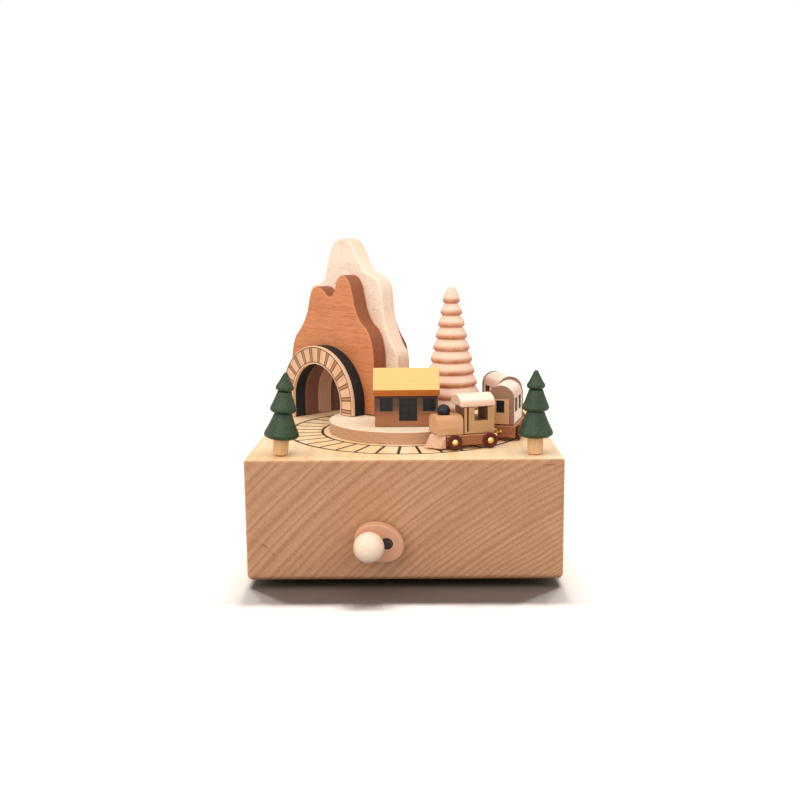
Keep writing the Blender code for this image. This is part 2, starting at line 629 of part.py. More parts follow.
def make_crank():
    """The crank's plate, shaft, screw and knob pin; the knob turns on the pin."""
    crank = frame("crank_axis", Matrix.Translation((CRANK_X, 0, CRANK_Z)))
    oval = []
    for index in range(OVAL_POINTS):
        angle = 2 * math.pi * index / OVAL_POINTS
        across = PLATE_LENGTH / 2 * math.cos(angle)
        up = PLATE_WIDTH / 2 * math.sin(angle)
        oval.append((PLATE_CENTRE[0] + across * math.cos(PLATE_TILT) - up * math.sin(PLATE_TILT),
                     PLATE_CENTRE[1] + across * math.sin(PLATE_TILT) + up * math.cos(PLATE_TILT)))
    middle = (PLATE_BACK + PLATE_FACE) / 2
    plate = board("crank_plate", oval, PLATE_THICKNESS, upright((1, 0, 0), (0, -1, 0), (0, middle, 0)),
                  PEACH_WOOD, crank)
    round_edges(plate, PLATE_EDGE)
    head_depth = 1.5 * MM
    knob_x, knob_z = KNOB_CENTRE
    holes = (
        rod("plate_head_cutter", CRANK_SCREW["head"] + GAP, (0, PLATE_FACE - MM, 0),
            (0, PLATE_FACE + head_depth, 0), parent=crank, sides=16),
        rod("plate_hole_cutter", CRANK_SCREW["shank"] + GAP, (0, PLATE_FACE, 0), (0, PLATE_BACK, 0),
            parent=crank, sides=12),
        rod("plate_socket_cutter", SHAFT_RADIUS + GAP, (0, PLATE_BACK - SHAFT_SOCKET, 0), (0, PLATE_BACK + MM, 0),
            parent=crank, sides=16),
        rod("plate_pin_cutter", KNOB_PIN_RADIUS + GAP, (knob_x, PLATE_FACE - MM, knob_z),
            (knob_x, PLATE_FACE + KNOB_PIN_IN_PLATE + GAP, knob_z), parent=crank, sides=16),
    )
    cut(plate, *holes)
    head_top = PLATE_FACE + head_depth - GAP - CRANK_SCREW["head_height"]
    length = PLATE_BACK - SHAFT_SOCKET - head_top - CRANK_SCREW["head_height"]
    size = dict(CRANK_SCREW, length=length)
    screw("crank_screw", size, (0, head_top, 0), (0, 1, 0), BRASS, crank)
    rod("knob_pin", KNOB_PIN_RADIUS, (knob_x, PLATE_FACE + KNOB_PIN_IN_PLATE, knob_z),
        (knob_x, PLATE_FACE - GAP - KNOB_PIN_IN_KNOB, knob_z), STEEL, crank, sides=16)
    make_worm_shaft(crank)

    knob = frame("knob_axis", Matrix.Translation((knob_x, 0, knob_z)), crank)
    bore = KNOB_PIN_RADIUS + GAP
    flat = math.degrees(math.asin(KNOB_BACK / KNOB_RADIUS))
    profile = arc((0, 0), KNOB_RADIUS, 90, -flat, 11)
    profile[0] = (0, KNOB_RADIUS)
    bore_end = -KNOB_BACK + KNOB_PIN_IN_KNOB + GAP
    profile += [(bore, -KNOB_BACK), (bore, bore_end), (0, bore_end)]
    centre = PLATE_FACE - GAP - KNOB_BACK
    turned("crank_knob", profile, WHITE_WOOD, knob, axis_place((0, centre, 0), (0, -1, 0)), steps=20)


def bracket(name, centre, across, towards, foot, look=None):
    """An upright bearing plate with a round head, standing on the height foot."""
    drop = centre[2] - foot
    outline = [(BRACKET_HALF_WIDTH, -drop)] + arc((0, 0), BRACKET_HALF_WIDTH, 0, 180, 8)
    outline.append((-BRACKET_HALF_WIDTH, -drop))
    place = upright(across, towards, centre)
    return board(name, outline, BRACKET_THICKNESS, place, look, resolution=1)


def make_movement():
    """The bed plate with its bearings, the loose arbor bracket, the comb, and the screws."""
    bed = block("bed_plate", (-BED_LEFT, CASE_Y - BED_FRONT, BED_Z), (BED_RIGHT, CASE_Y + BED_BACK, BED_TOP),
                BRASS, edge=0.5 * MM)
    boss_top = BED_TOP + SPINDLE_BOSS_HEIGHT
    boss = rod("foot_bearing_cutter", SPINDLE_BOSS, (0, CASE_Y, BED_Z + MM), (0, CASE_Y, boss_top))
    inside = BED_Z + MM
    shaft_at = (CRANK_X, CASE_Y + SHAFT_BRACKET_Y, CRANK_Z)
    left_at = (bracket_left(), CASE_Y + CYLINDER_Y, CYLINDER_Z)
    right_at = (bracket_right(), CASE_Y + CYLINDER_Y, CYLINDER_Z)
    shaft_bracket = bracket("shaft_bracket_cutter", shaft_at, (1, 0, 0), (0, -1, 0), inside)
    left_bracket = bracket("left_bracket_cutter", left_at, (0, 1, 0), (1, 0, 0), inside)

    left = drum_left() - COMB_MARGIN
    right = drum_left() + CYLINDER_LENGTH + COMB_MARGIN
    tip = CASE_Y + CYLINDER_Y + CYLINDER_RADIUS + PIN_HEIGHT + GAP
    back = tip + COMB_LENGTH
    seat_front = tip + TOOTH_LENGTH + MM
    seat_top = CYLINDER_Z - COMB_THICKNESS / 2 - GAP
    seat = block("comb_seat_cutter", (left, seat_front, inside), (right, back, seat_top))
    join(bed, boss, shaft_bracket, left_bracket, seat)

    arbor = ARBOR_RADIUS + GAP
    wide = BRACKET_THICKNESS
    shaft_hole = rod("shaft_bearing_cutter", SHAFT_RADIUS + GAP,
                     (shaft_at[0], shaft_at[1] - wide, shaft_at[2]), (shaft_at[0], shaft_at[1] + wide, shaft_at[2]),
                     sides=16)
    left_hole = rod("left_arbor_cutter", arbor, (left_at[0] - wide, *left_at[1:]), (left_at[0] + wide, *left_at[1:]),
                    sides=16)
    pivot = rod("pivot_cutter", SPINDLE_RADIUS + GAP, (0, CASE_Y, boss_top - SPINDLE_FOOT_DEPTH),
                (0, CASE_Y, boss_top + MM), sides=16)
    half = BRACKET_HALF_WIDTH + GAP
    socket = block("bracket_seat_cutter",
                   (right_at[0] - wide / 2 - GAP, right_at[1] - half, BED_TOP - BRACKET_SEAT - GAP),
                   (right_at[0] + wide / 2 + GAP, right_at[1] + half, BED_TOP + MM))
    cut(bed, shaft_hole, left_hole, pivot, socket)
    loose = bracket("arbor_bracket", right_at, (0, 1, 0), (1, 0, 0), BED_TOP - BRACKET_SEAT, BRASS)
    cut(loose, rod("right_arbor_cutter", arbor, (right_at[0] - wide, *right_at[1:]),
                   (right_at[0] + wide, *right_at[1:]), sides=16))

    half = COMB_THICKNESS / 2
    comb = block("comb", (left, tip, CYLINDER_Z - half), (right, back, CYLINDER_Z + half), STEEL)
    pitch = CYLINDER_LENGTH / COMB_TEETH
    shape = bmesh.new()
    for slot in range(COMB_TEETH + 1):
        edge_slot = slot in (0, COMB_TEETH)
        width = 2 * COMB_MARGIN if edge_slot else COMB_SLOT * pitch
        x = left + COMB_MARGIN + pitch * slot
        if edge_slot:
            x += -COMB_SLOT * pitch if slot == 0 else COMB_SLOT * pitch
        size = Matrix.Diagonal((width, 2 * TOOTH_LENGTH, 2 * MM, 1.0))
        bmesh.ops.create_cube(shape, size=1.0, matrix=Matrix.Translation((x, tip, CYLINDER_Z)) @ size)
    cut(comb, add_piece("slots_cutter", mesh_of("slots_cutter", shape), None))
    screw_y = (seat_front + back) / 2
    top = CYLINDER_Z + COMB_THICKNESS / 2 + GAP + COMB_SCREW["head_height"]
    for mark, x in (("left", left + COMB_SCREW_INSET), ("right", right - COMB_SCREW_INSET)):
        hole = screw_hole("comb_screw_" + mark, COMB_SCREW, (x, screw_y, top), -1)
        cut(comb, hole)
        cut(bed, hole)
        screw("comb_screw_" + mark, COMB_SCREW, (x, screw_y, top), (0, 0, -1), STEEL)
    plate = bpy.data.objects["bottom_plate"]
    bottom = FOOT_HEIGHT + GAP
    for mark, (x, y) in zip(("rear", "front"), BED_SCREWS):
        head_hole = rod(f"bed_head_cutter_{mark}", BED_SCREW["head"] + GAP, (x, CASE_Y + y, 0),
                        (x, CASE_Y + y, bottom + BED_SCREW["head_height"] + GAP), sides=16)
        hole = screw_hole("bed_screw_" + mark, BED_SCREW, (x, CASE_Y + y, bottom), 1)
        cut(plate, head_hole, hole)
        cut(bed, hole)
        screw("bed_screw_" + mark, BED_SCREW, (x, CASE_Y + y, bottom), (0, 0, 1), STEEL)


def screw_hole(name, size, head_top, upwards):
    """A cutter for an upright screw's shank, from its head's top face to just past its point."""
    x, y, z = head_top
    end = z + upwards * (size["head_height"] + size["length"] + GAP)
    return rod(name + "_cutter", size["shank"] + GAP, (x, y, z), (x, y, end), sides=12)


def bracket_left():
    """Middle plane of the left arbor bracket."""
    return CRANK_X - WHEEL_WIDTH / 2 - ARBOR_END - BRACKET_THICKNESS / 2


def drum_left():
    """Left end of the pinned drum."""
    return CRANK_X + WHEEL_WIDTH / 2 + CYLINDER_GAP


def bracket_right():
    """Middle plane of the right arbor bracket."""
    return drum_left() + CYLINDER_LENGTH + ARBOR_END + BRACKET_THICKNESS / 2


def make_cylinder():
    """The pinned cylinder with its arbor and worm wheel."""
    axis = frame("cylinder_axis", Matrix.Translation((0, CASE_Y + CYLINDER_Y, CYLINDER_Z)))
    start = drum_left()
    end = start + CYLINDER_LENGTH
    left = bracket_left() - BRACKET_THICKNESS / 2
    right = bracket_right() + BRACKET_THICKNESS / 2
    profile = [(0, right), (ARBOR_RADIUS, right), (ARBOR_RADIUS, end), (CYLINDER_RADIUS, end),
               (CYLINDER_RADIUS, start), (ARBOR_RADIUS, start), (ARBOR_RADIUS, left), (0, left)]
    drum = turned("cylinder", profile, BRASS, axis, axis_place((0, 0, 0), (1, 0, 0)), steps=24)
    shape = bmesh.new()
    pitch = CYLINDER_LENGTH / COMB_TEETH
    golden = math.pi * (3 - math.sqrt(5))
    for tooth in range(COMB_TEETH):
        for pin in range(PINS_PER_TOOTH):
            angle = golden * (tooth * PINS_PER_TOOTH + pin) + 0.1
            turn = Matrix.Rotation(angle, 4, "X")
            radius = CYLINDER_RADIUS + (PIN_HEIGHT - PIN_SINK) / 2
            place = turn @ Matrix.Translation((start + pitch * (tooth + 0.5), 0, radius))
            size = Matrix.Diagonal((PIN_WIDTH, PIN_WIDTH, PIN_HEIGHT + PIN_SINK, 1.0))
            bmesh.ops.create_cube(shape, size=1.0, matrix=place @ size)
    pins = add_piece("pins_cutter", mesh_of("pins_cutter", shape), None, axis)
    place = Matrix.Translation((CRANK_X, 0, 0)) @ wheel_place((1, 0, 0))
    join(drum, pins, worm_wheel("cylinder_wheel_cutter", CYLINDER_TEETH, axis, place))


def wheel_place(axis):
    """A worm wheel's place: its Z along axis and its X up, or along X where the axis is upright."""
    axis = Vector(axis)
    first = Vector((0, 0, 1)) if abs(axis.z) < 0.5 else Vector((1, 0, 0))
    second = axis.cross(first)
    return Matrix((first, second, axis)).transposed().to_4x4()


def make_spindle():
    """The upright spindle with its worm wheel, the magnet arm on it and the arm's magnet."""
    axis = frame("spindle_axis", Matrix.Translation((0, CASE_Y, 0)))
    foot = BED_TOP + SPINDLE_BOSS_HEIGHT - SPINDLE_FOOT_DEPTH + GAP
    head = CAVITY_TOP + SPINDLE_HEAD_DEPTH - GAP
    spindle = rod("spindle", SPINDLE_RADIUS, (0, 0, foot), (0, 0, head), STEEL, axis, sides=16)
    place = Matrix.Translation((0, 0, CRANK_Z)) @ wheel_place((0, 0, 1))
    join(spindle, worm_wheel("spindle_wheel_cutter", SPINDLE_TEETH, axis, place))

    magnet = loco_point(LOCO_MAGNET_X)
    reach = math.hypot(*magnet)
    arm_top = CAVITY_TOP - ARM_BELOW_DECK
    heading = Matrix.Rotation(math.atan2(magnet[1], magnet[0]), 4, "Z")
    half = ARM_WIDTH / 2
    outline = arc((reach, 0), half, -90, 90, 8) + arc((-ARM_TAIL, 0), half, 90, 270, 8)
    place = heading @ Matrix.Translation((0, 0, arm_top - ARM_THICKNESS / 2))
    arm = board("magnet_arm", outline, ARM_THICKNESS, place, PALE_WOOD, axis, resolution=1)
    join(arm, rod("arm_hub_joint_cutter", ARM_HUB, (0, 0, arm_top - ARM_HUB_HEIGHT), (0, 0, arm_top - MM),
                  parent=axis))
    hub_hole = rod("arm_bore_cutter", SPINDLE_RADIUS + GAP, (0, 0, arm_top - 2 * ARM_HUB_HEIGHT),
                   (0, 0, arm_top + MM), parent=axis, sides=16)
    floor = arm_top - MAGNET_POCKET
    pocket = rod("arm_pocket_cutter", MAGNET_RADIUS + GAP, (*magnet, floor), (*magnet, arm_top + MM),
                 parent=axis, sides=16)
    cut(arm, hub_hole, pocket)
    rod("arm_magnet", MAGNET_RADIUS, (*magnet, floor + GAP), (*magnet, floor + GAP + MAGNET_HEIGHT), MAGNET_METAL,
        axis, sides=20)


def loco_point(x, y=0.0):
    """A point of the locomotive, from the track's centre."""
    return (LOCO_PLACE[0] + x * math.cos(LOCO_HEADING) - y * math.sin(LOCO_HEADING),
            LOCO_PLACE[1] + x * math.sin(LOCO_HEADING) + y * math.cos(LOCO_HEADING))


def make_platform():
    """The round platform in the middle of the track."""
    rise = PLATFORM_TOP
    foot = DECK + GAP
    profile = [(0, rise), (PLATFORM_RADIUS - PLATFORM_EDGE, rise), (PLATFORM_RADIUS, rise - PLATFORM_EDGE),
               (PLATFORM_RADIUS, foot), (0, foot)]
    turned("platform", profile, PALE_WOOD, matrix=Matrix.Translation((0, CASE_Y, 0)), steps=64)


def arch_outline():
    """The stone arch's outline: a round head on legs, the inner leg on the platform, the outer on the deck."""
    inner_foot = PLATFORM_RISE + GAP
    head = arc((-TRACK_RADIUS, TUNNEL_SPRING), ARCH_RADIUS, 0, 180, 20)
    return [(-TRACK_RADIUS + ARCH_RADIUS, inner_foot)] + head + [
        (-TRACK_RADIUS - ARCH_RADIUS, GAP), (-TRACK_RADIUS, GAP), (-TRACK_RADIUS, inner_foot)]


def mountain_outline(ridge, outer_foot):
    """A mountain board's outline: its ridge from the inner foot, on the platform, to the outer one."""
    inner_foot = PLATFORM_RISE + GAP
    points = [(ridge[0][0] * RIDGE_STEP - TRACK_RADIUS, inner_foot)]
    points += [(across * RIDGE_STEP - TRACK_RADIUS, up * RIDGE_STEP) for across, up in ridge]
    points += [(outer_foot * RIDGE_STEP - TRACK_RADIUS, GAP), (-TRACK_RADIUS, GAP), (-TRACK_RADIUS, inner_foot)]
    return points, range(2, len(ridge))


# Ridges in steps of a millimetre: inwards from the tunnel's middle, and up from the deck
RIDGE_STEP = 1.0 * MM
FRONT_RIDGE = ((30.1, 31), (28.9, 37.2), (26.4, 42), (21.9, 45.8), (18.8, 51), (16.9, 57.5), (14.6, 63.2),
               (10.4, 65.7), (6.5, 63.3), (4.8, 58.8), (1.2, 56.1), (-2.2, 58.3), (-5.2, 60), (-9.8, 59.8),
               (-12.6, 55.4), (-15.2, 48), (-19.6, 41.4), (-23.8, 37), (-26.2, 31), (-27.7, 20))
MIDDLE_RIDGE = ((36.6, 27), (36.4, 32), (33.8, 35.3), (30.6, 41.2), (28.4, 48), (27.4, 55), (25.9, 62),
                (22.1, 65), (16.6, 67.2), (12.6, 71.2), (9.8, 76.4), (5.8, 80.6), (1.8, 81.7), (-3.2, 80.2),
                (-7, 76), (-9.5, 69.4), (-12, 63), (-15.6, 61.5), (-20, 60.8), (-22.8, 55), (-24.7, 42),
                (-25.2, 28))
REAR_RIDGE = ((28.8, 27), (28.1, 31.2), (26.8, 35.2), (23.4, 39.6), (20.9, 44.5), (18.2, 52), (13.2, 58.6),
              (7.8, 61.6), (1.8, 60.4), (-3.8, 55.6), (-9.2, 52.6), (-14.2, 50.4), (-18.2, 44), (-20.5, 34),
              (-21.5, 22))


def make_mountain():
    """The five boards of the mountain, with one tunnel cut along the track through all of them."""
    place = Matrix.Translation((0, CASE_Y, DECK)) @ Matrix.Rotation(MOUNTAIN_TURN, 4, "Z")
    long_way = CASE_WIDTH
    tunnel = rod("tunnel_cutter", TUNNEL_RADIUS, (-TRACK_RADIUS, -long_way, TUNNEL_SPRING),
                 (-TRACK_RADIUS, long_way, TUNNEL_SPRING), sides=40)
    tunnel.matrix_basis = place
    passage = block("passage_cutter", (-TRACK_RADIUS - TUNNEL_RADIUS, -long_way, -long_way),
                    (-TRACK_RADIUS + TUNNEL_RADIUS, long_way, TUNNEL_SPRING), matrix=place)
    layers = [("arch_facing", arch_outline(), (), ARCH_FACING_THICKNESS, PEACH_WOOD),
              ("arch_block", arch_outline(), (), ARCH_BLOCK_THICKNESS, BLACK_STAIN)]
    for name, ridge, outer_foot, look in (("mountain_front", FRONT_RIDGE, -28.2, RED_WOOD),
                                          ("mountain_middle", MIDDLE_RIDGE, -25.2, PALE_WOOD),
                                          ("mountain_rear", REAR_RIDGE, -21.7, DARK_WOOD)):
        outline, smooth = mountain_outline(ridge, outer_foot)
        layers.append((name, outline, smooth, BOARD_THICKNESS, look))
    front = MOUNTAIN_FRONT
    for name, outline, smooth, thickness, look in layers:
        lay = place @ upright((1, 0, 0), (0, -1, 0), (0, front + thickness / 2, 0))
        layer = board(name, outline, thickness, lay, look, smooth=smooth, resolution=2)
        cut(layer, tunnel, passage)
        front += thickness + GAP


def make_house():
    """The house: walls with recessed windows and door, and a folded roof."""
    middle_y = CASE_Y - HOUSE_FRONT + HOUSE_DEPTH / 2
    foot = PLATFORM_TOP + GAP
    half = HOUSE_DEPTH / 2
    run = half + ROOF_OVERHANG
    slope = ROOF_RISE / run
    eave = PLATFORM_TOP + EAVE_HEIGHT
    under_ridge = eave + ROOF_RISE - ROOF_THICKNESS - GAP
    under_wall = under_ridge - slope * half
    end_on = upright((0, 1, 0), (1, 0, 0), (HOUSE_X, middle_y, 0))
    walls = board("house_walls", [(half, foot), (half, under_wall), (0, under_ridge), (-half, under_wall),
                                  (-half, foot)], HOUSE_WIDTH, end_on, RED_WOOD, resolution=1)
    ridge = eave + ROOF_RISE
    roof = [(0, ridge), (-run, eave), (-run, eave - ROOF_THICKNESS), (0, ridge - ROOF_THICKNESS),
            (run, eave - ROOF_THICKNESS), (run, eave)]
    board("house_roof", roof, ROOF_WIDTH, end_on, PALE_WOOD, resolution=1)
    front = middle_y - half
    top = PLATFORM_TOP + PANE_TOP
    openings = ((LEFT_WINDOW_X, WINDOW_WIDTH, WINDOW_HEIGHT), (RIGHT_WINDOW_X, WINDOW_WIDTH, WINDOW_HEIGHT),
                (DOOR_X, DOOR_WIDTH, DOOR_HEIGHT))
    for mark, (x, width, height) in enumerate(openings):
        left = HOUSE_X + x - width / 2
        recess = block(f"recess_cutter_{mark}", (left, front - MM, top - height),
                       (left + width, front + PANE_DEPTH, top))
        cut(walls, recess)


def make_turned_tree():
    """The tall tree, turned from one piece in swelling tiers."""
    foot = PLATFORM_TOP + GAP
    top = PLATFORM_TOP + TURNED_TREE_HEIGHT
    profile = [(0, top), (TURNED_TREE_TIP * 0.7, top - 0.1 * MM), (TURNED_TREE_TIP, top - 0.7 * MM)]
    start = TURNED_TREE_TIP
    height = TURNED_TREE_TOP_TIER
    level = top - 0.7 * MM
    for tier in range(TURNED_TREE_TIERS):
        end = TURNED_TREE_FIRST + TURNED_TREE_GROWTH * tier
        low = top - TURNED_TREE_TOP_TIER - TURNED_TREE_PITCH * tier
        height = level - low
        for share, swell in ((0.5, 0.68), (0.82, 0.98), (0.95, 0.97)):
            profile.append((start + (end - start) * swell, level - height * share))
        profile.append((end - 0.45 * MM, low))
        level = low
        start = end - TURNED_TREE_STEP
        if tier < TURNED_TREE_TIERS - 1:
            profile.append((start, low - 0.1 * MM))
    profile += [(TURNED_TREE_TRUNK, level + 0.1 * MM), (TURNED_TREE_TRUNK, foot), (0, foot)]
    turned("turned_tree", profile, PALE_WOOD,
           matrix=Matrix.Translation((TURNED_TREE_X, CASE_Y + TURNED_TREE_Y, 0)), steps=24)


def make_small_trees():
    """Two small trees, each turned with its trunk; the left one leans."""
    for mark, x, lean in (("left", LEFT_TREE_X, LEFT_TREE_LEAN), ("right", RIGHT_TREE_X, 0.0)):
        place = Matrix.Translation((x, CASE_Y + SMALL_TREE_Y, DECK)) @ Matrix.Rotation(lean, 4, "Y")
        profile = [(0, SMALL_TREE_TOP)]
        top = SMALL_TREE_TOP - 0.2 * MM
        for under, widest, neck in reversed(SMALL_TREE_TIERS):
            wide_at = under + TIER_LIP
            profile += [(neck, top), ((neck + widest) / 2 + TIER_BELLY, (top + wide_at) / 2), (widest, wide_at),
                        (widest - 0.25 * MM, under + TIER_LIP / 2), (widest - TIER_UNDERCUT, under)]
            top = under - 0.2 * MM
        foot = GAP + TRUNK_RADIUS * math.sin(lean)
        profile += [(TRUNK_RADIUS, top), (TRUNK_RADIUS, foot), (0, foot)]
        turned(mark + "_tree", profile, GREEN_STAIN, matrix=place, steps=16)


def make_wheel_set(name, vehicle, x):
    """Two wheels pressed on an axle with domed brass ends, one turned piece."""
    axle = frame(name + "_axis", Matrix.Translation((x, 0, RAIL_GAP + WHEEL_RADIUS)), vehicle)
    inner = CHASSIS_WIDTH / 2 + GAP
    outer = inner + WHEEL_THICKNESS
    end = outer + AXLE_HEAD_HEIGHT
    half = [(0, end), (AXLE_HEAD * 0.6, end - 0.1 * MM), (AXLE_HEAD, outer + 0.15 * MM), (AXLE_HEAD, outer),
            (WHEEL_RADIUS - WHEEL_EDGE, outer), (WHEEL_RADIUS, outer - WHEEL_EDGE),
            (WHEEL_RADIUS, inner), (AXLE_RADIUS, inner)]
    profile = half + [(radius, -height) for radius, height in reversed(half)]
    turned(name, profile, WHEEL_RED, axle, axis_place((0, 0, 0), (0, 1, 0)), steps=16)


def make_eye(name, vehicle, start, towards, reach, flat):
    """A screw eye that leaves a chassis at start; its loop's middle lies reach away, towards a point."""
    outwards = (towards - start).normalized()
    middle = start + outwards * reach
    aside = outwards.cross(Vector((0, 0, 1))) if flat else Vector((0, 0, 1))
    points = [start + outwards * EYE_START]
    for index in range(EYE_POINTS + 1):
        angle = EYE_TURN * index / EYE_POINTS
        points.append(middle + EYE_RADIUS * (aside * math.sin(angle) - outwards * math.cos(angle)))
    curve = bpy.data.curves.new(name, "CURVE")
    curve.dimensions = "3D"
    curve.bevel_depth = EYE_WIRE
    curve.bevel_resolution = 1
    curve.use_fill_caps = True
    spline = curve.splines.new("POLY")
    spline.points.add(len(points) - 1)
    for point, place in zip(spline.points, points):
        point.co = (*place, 1.0)
    piece = bpy.data.objects.new(name, curve)
    PARTS.objects.link(piece)
    piece.parent = vehicle
    as_mesh(piece, BRASS, vehicle)


def make_coupling(front_name, front, front_rear_end, rear_name, rear, rear_front_end):
    """Two linked eyes: an upright one behind the vehicle in front, a flat one before the one behind it."""
    ahead = Vector((front_rear_end, 0, EYE_HEIGHT))
    behind = Vector((rear_front_end, 0, EYE_HEIGHT))
    to_rear = rear.matrix_world.inverted() @ front.matrix_world
    behind_seen = to_rear.inverted() @ behind
    reach = ((behind_seen - ahead).length - LINK_OFFSET) / 2
    make_eye(front_name + "_rear_eye", front, ahead, behind_seen, reach, False)
    make_eye(rear_name + "_front_eye", rear, behind, to_rear @ ahead, reach, True)


def vehicle_frame(name, place, heading):
    """A vehicle's empty on the track's axis, and the frame of its own pieces."""
    axis = frame(name + "_axis", Matrix.Translation((0, CASE_Y, DECK)))
    return frame(name + "_frame", Matrix.Translation((*place, 0)) @ Matrix.Rotation(heading, 4, "Z"), axis)


def axle_holes(name, chassis, vehicle, places):
    """Bore a chassis for its axles."""
    for mark, x in enumerate(places):
        height = RAIL_GAP + WHEEL_RADIUS
        hole = rod(f"{name}_axle_cutter_{mark}", AXLE_RADIUS + GAP, (x, -CHASSIS_WIDTH, height),
                   (x, CHASSIS_WIDTH, height), parent=vehicle, sides=12)
        cut(chassis, hole)


def make_loco():
    """The locomotive: chassis, cow catcher, boiler with a ball chimney, cab, roof, magnet and wheels."""
    loco = vehicle_frame("loco", LOCO_PLACE, LOCO_HEADING)
    side = CHASSIS_WIDTH / 2
    chassis = block("loco_chassis", (LOCO_REAR, -side, CHASSIS_BOTTOM), (LOCO_FRONT, side, LOCO_CHASSIS_TOP),
                    RED_WOOD, loco, edge=0.3 * MM)
    axle_holes("loco", chassis, loco, (LOCO_AXLE, -LOCO_AXLE))
    pocket = CHASSIS_BOTTOM + LOCO_MAGNET_HEIGHT + GAP
    magnet_hole = rod("loco_pocket_cutter", LOCO_MAGNET_RADIUS + GAP, (LOCO_MAGNET_X, 0, CHASSIS_BOTTOM - MM),
                      (LOCO_MAGNET_X, 0, pocket), parent=loco, sides=16)
    cut(chassis, magnet_hole)
    rod("loco_magnet", LOCO_MAGNET_RADIUS, (LOCO_MAGNET_X, 0, CHASSIS_BOTTOM),
        (LOCO_MAGNET_X, 0, CHASSIS_BOTTOM + LOCO_MAGNET_HEIGHT), MAGNET_METAL, loco, sides=16)

    back = LOCO_FRONT + GAP
    side = CATCHER_WIDTH / 2
    plan = [(back, -side), (CATCHER_SIDE, -side), (CATCHER_TIP, 0.0), (CATCHER_SIDE, side), (back, side)]
    middle = (CATCHER_CLEAR + LOCO_CHASSIS_TOP) / 2
    lying = Matrix.Translation((0, 0, middle))
    catcher = board("cow_catcher", plan, LOCO_CHASSIS_TOP - CATCHER_CLEAR, lying, PEACH_WOOD, loco)
    for corner in catcher.data.vertices:
        if corner.co.z > 0 and corner.co.x > back + CATCHER_SLOPE / 2:
            corner.co.x -= CATCHER_SLOPE
    round_edges(catcher, 0.25 * MM)

    floor = LOCO_CHASSIS_TOP + GAP
    half = BODY_WIDTH / 2
    corner = half - BOILER_ROUND
    section = [(half, floor)] + arc((corner, BOILER_TOP - BOILER_ROUND), BOILER_ROUND, 0, 90, 5)
    section += arc((-corner, BOILER_TOP - BOILER_ROUND), BOILER_ROUND, 90, 180, 5) + [(-half, floor)]
    middle = (BOILER_FRONT + BOILER_REAR) / 2
    crosswise = upright((0, 1, 0), (1, 0, 0), (middle, 0, 0))
    boiler = board("boiler", section, BOILER_FRONT - BOILER_REAR, crosswise, ORANGE_WOOD, loco)
    round_edges(boiler, 0.4 * MM)
    dimple = ball("dimple_cutter", CHIMNEY_RADIUS + GAP, (CHIMNEY_X, 0, CHIMNEY_HEIGHT), parent=loco)
    cut(boiler, dimple)
    ball("chimney", CHIMNEY_RADIUS, (CHIMNEY_X, 0, CHIMNEY_HEIGHT), NAVY_STAIN, loco)

    front = BOILER_REAR - GAP
    cab = block("cab", (CAB_REAR, -half, floor), (front, half, CAB_TOP), ORANGE_WOOD, loco)
    window = block("cab_window_cutter", (CAB_WINDOW[0], -CHASSIS_WIDTH, CAB_SILL),
                   (CAB_WINDOW[1], CHASSIS_WIDTH, CAB_TOP + MM), parent=loco)
    grooves = []
    for mark, sign in (("left", 1), ("right", -1)):
        outer = sign * (half + MM)
        inner = sign * (half - CAB_SLOT)
        grooves.append(block("groove_cutter_" + mark, (CAB_GROOVE - CAB_SLOT, min(outer, inner), floor + CAB_SLOT),
                             (CAB_GROOVE, max(outer, inner), CAB_TOP + MM), parent=loco))
    cut(cab, window, *grooves)

    half = ROOF_WIDTH_LOCO / 2
    base = CAB_TOP + GAP
    section = []
    for index in range(13):
        angle = math.pi * index / 12
        section.append((half * math.cos(angle), base + 0.5 * MM + ROOF_RISE_LOCO * math.sin(angle)))
    section = [(half, base)] + section + [(-half, base)]
    middle = (ROOF_FRONT_LOCO + ROOF_REAR_LOCO) / 2
    roof = board("loco_roof", section, ROOF_FRONT_LOCO - ROOF_REAR_LOCO,
                 upright((0, 1, 0), (1, 0, 0), (middle, 0, 0)), WHITE_WOOD, loco)
    round_edges(roof, 0.5 * MM)
    make_wheel_set("loco_front_wheels", loco, LOCO_AXLE)
    make_wheel_set("loco_rear_wheels", loco, -LOCO_AXLE)
    return loco


def end_outline(radius, floor, spring):
    """A board with a round head."""
    return [(radius, floor)] + arc((0, spring), radius, 0, 180, 14) + [(-radius, floor)]


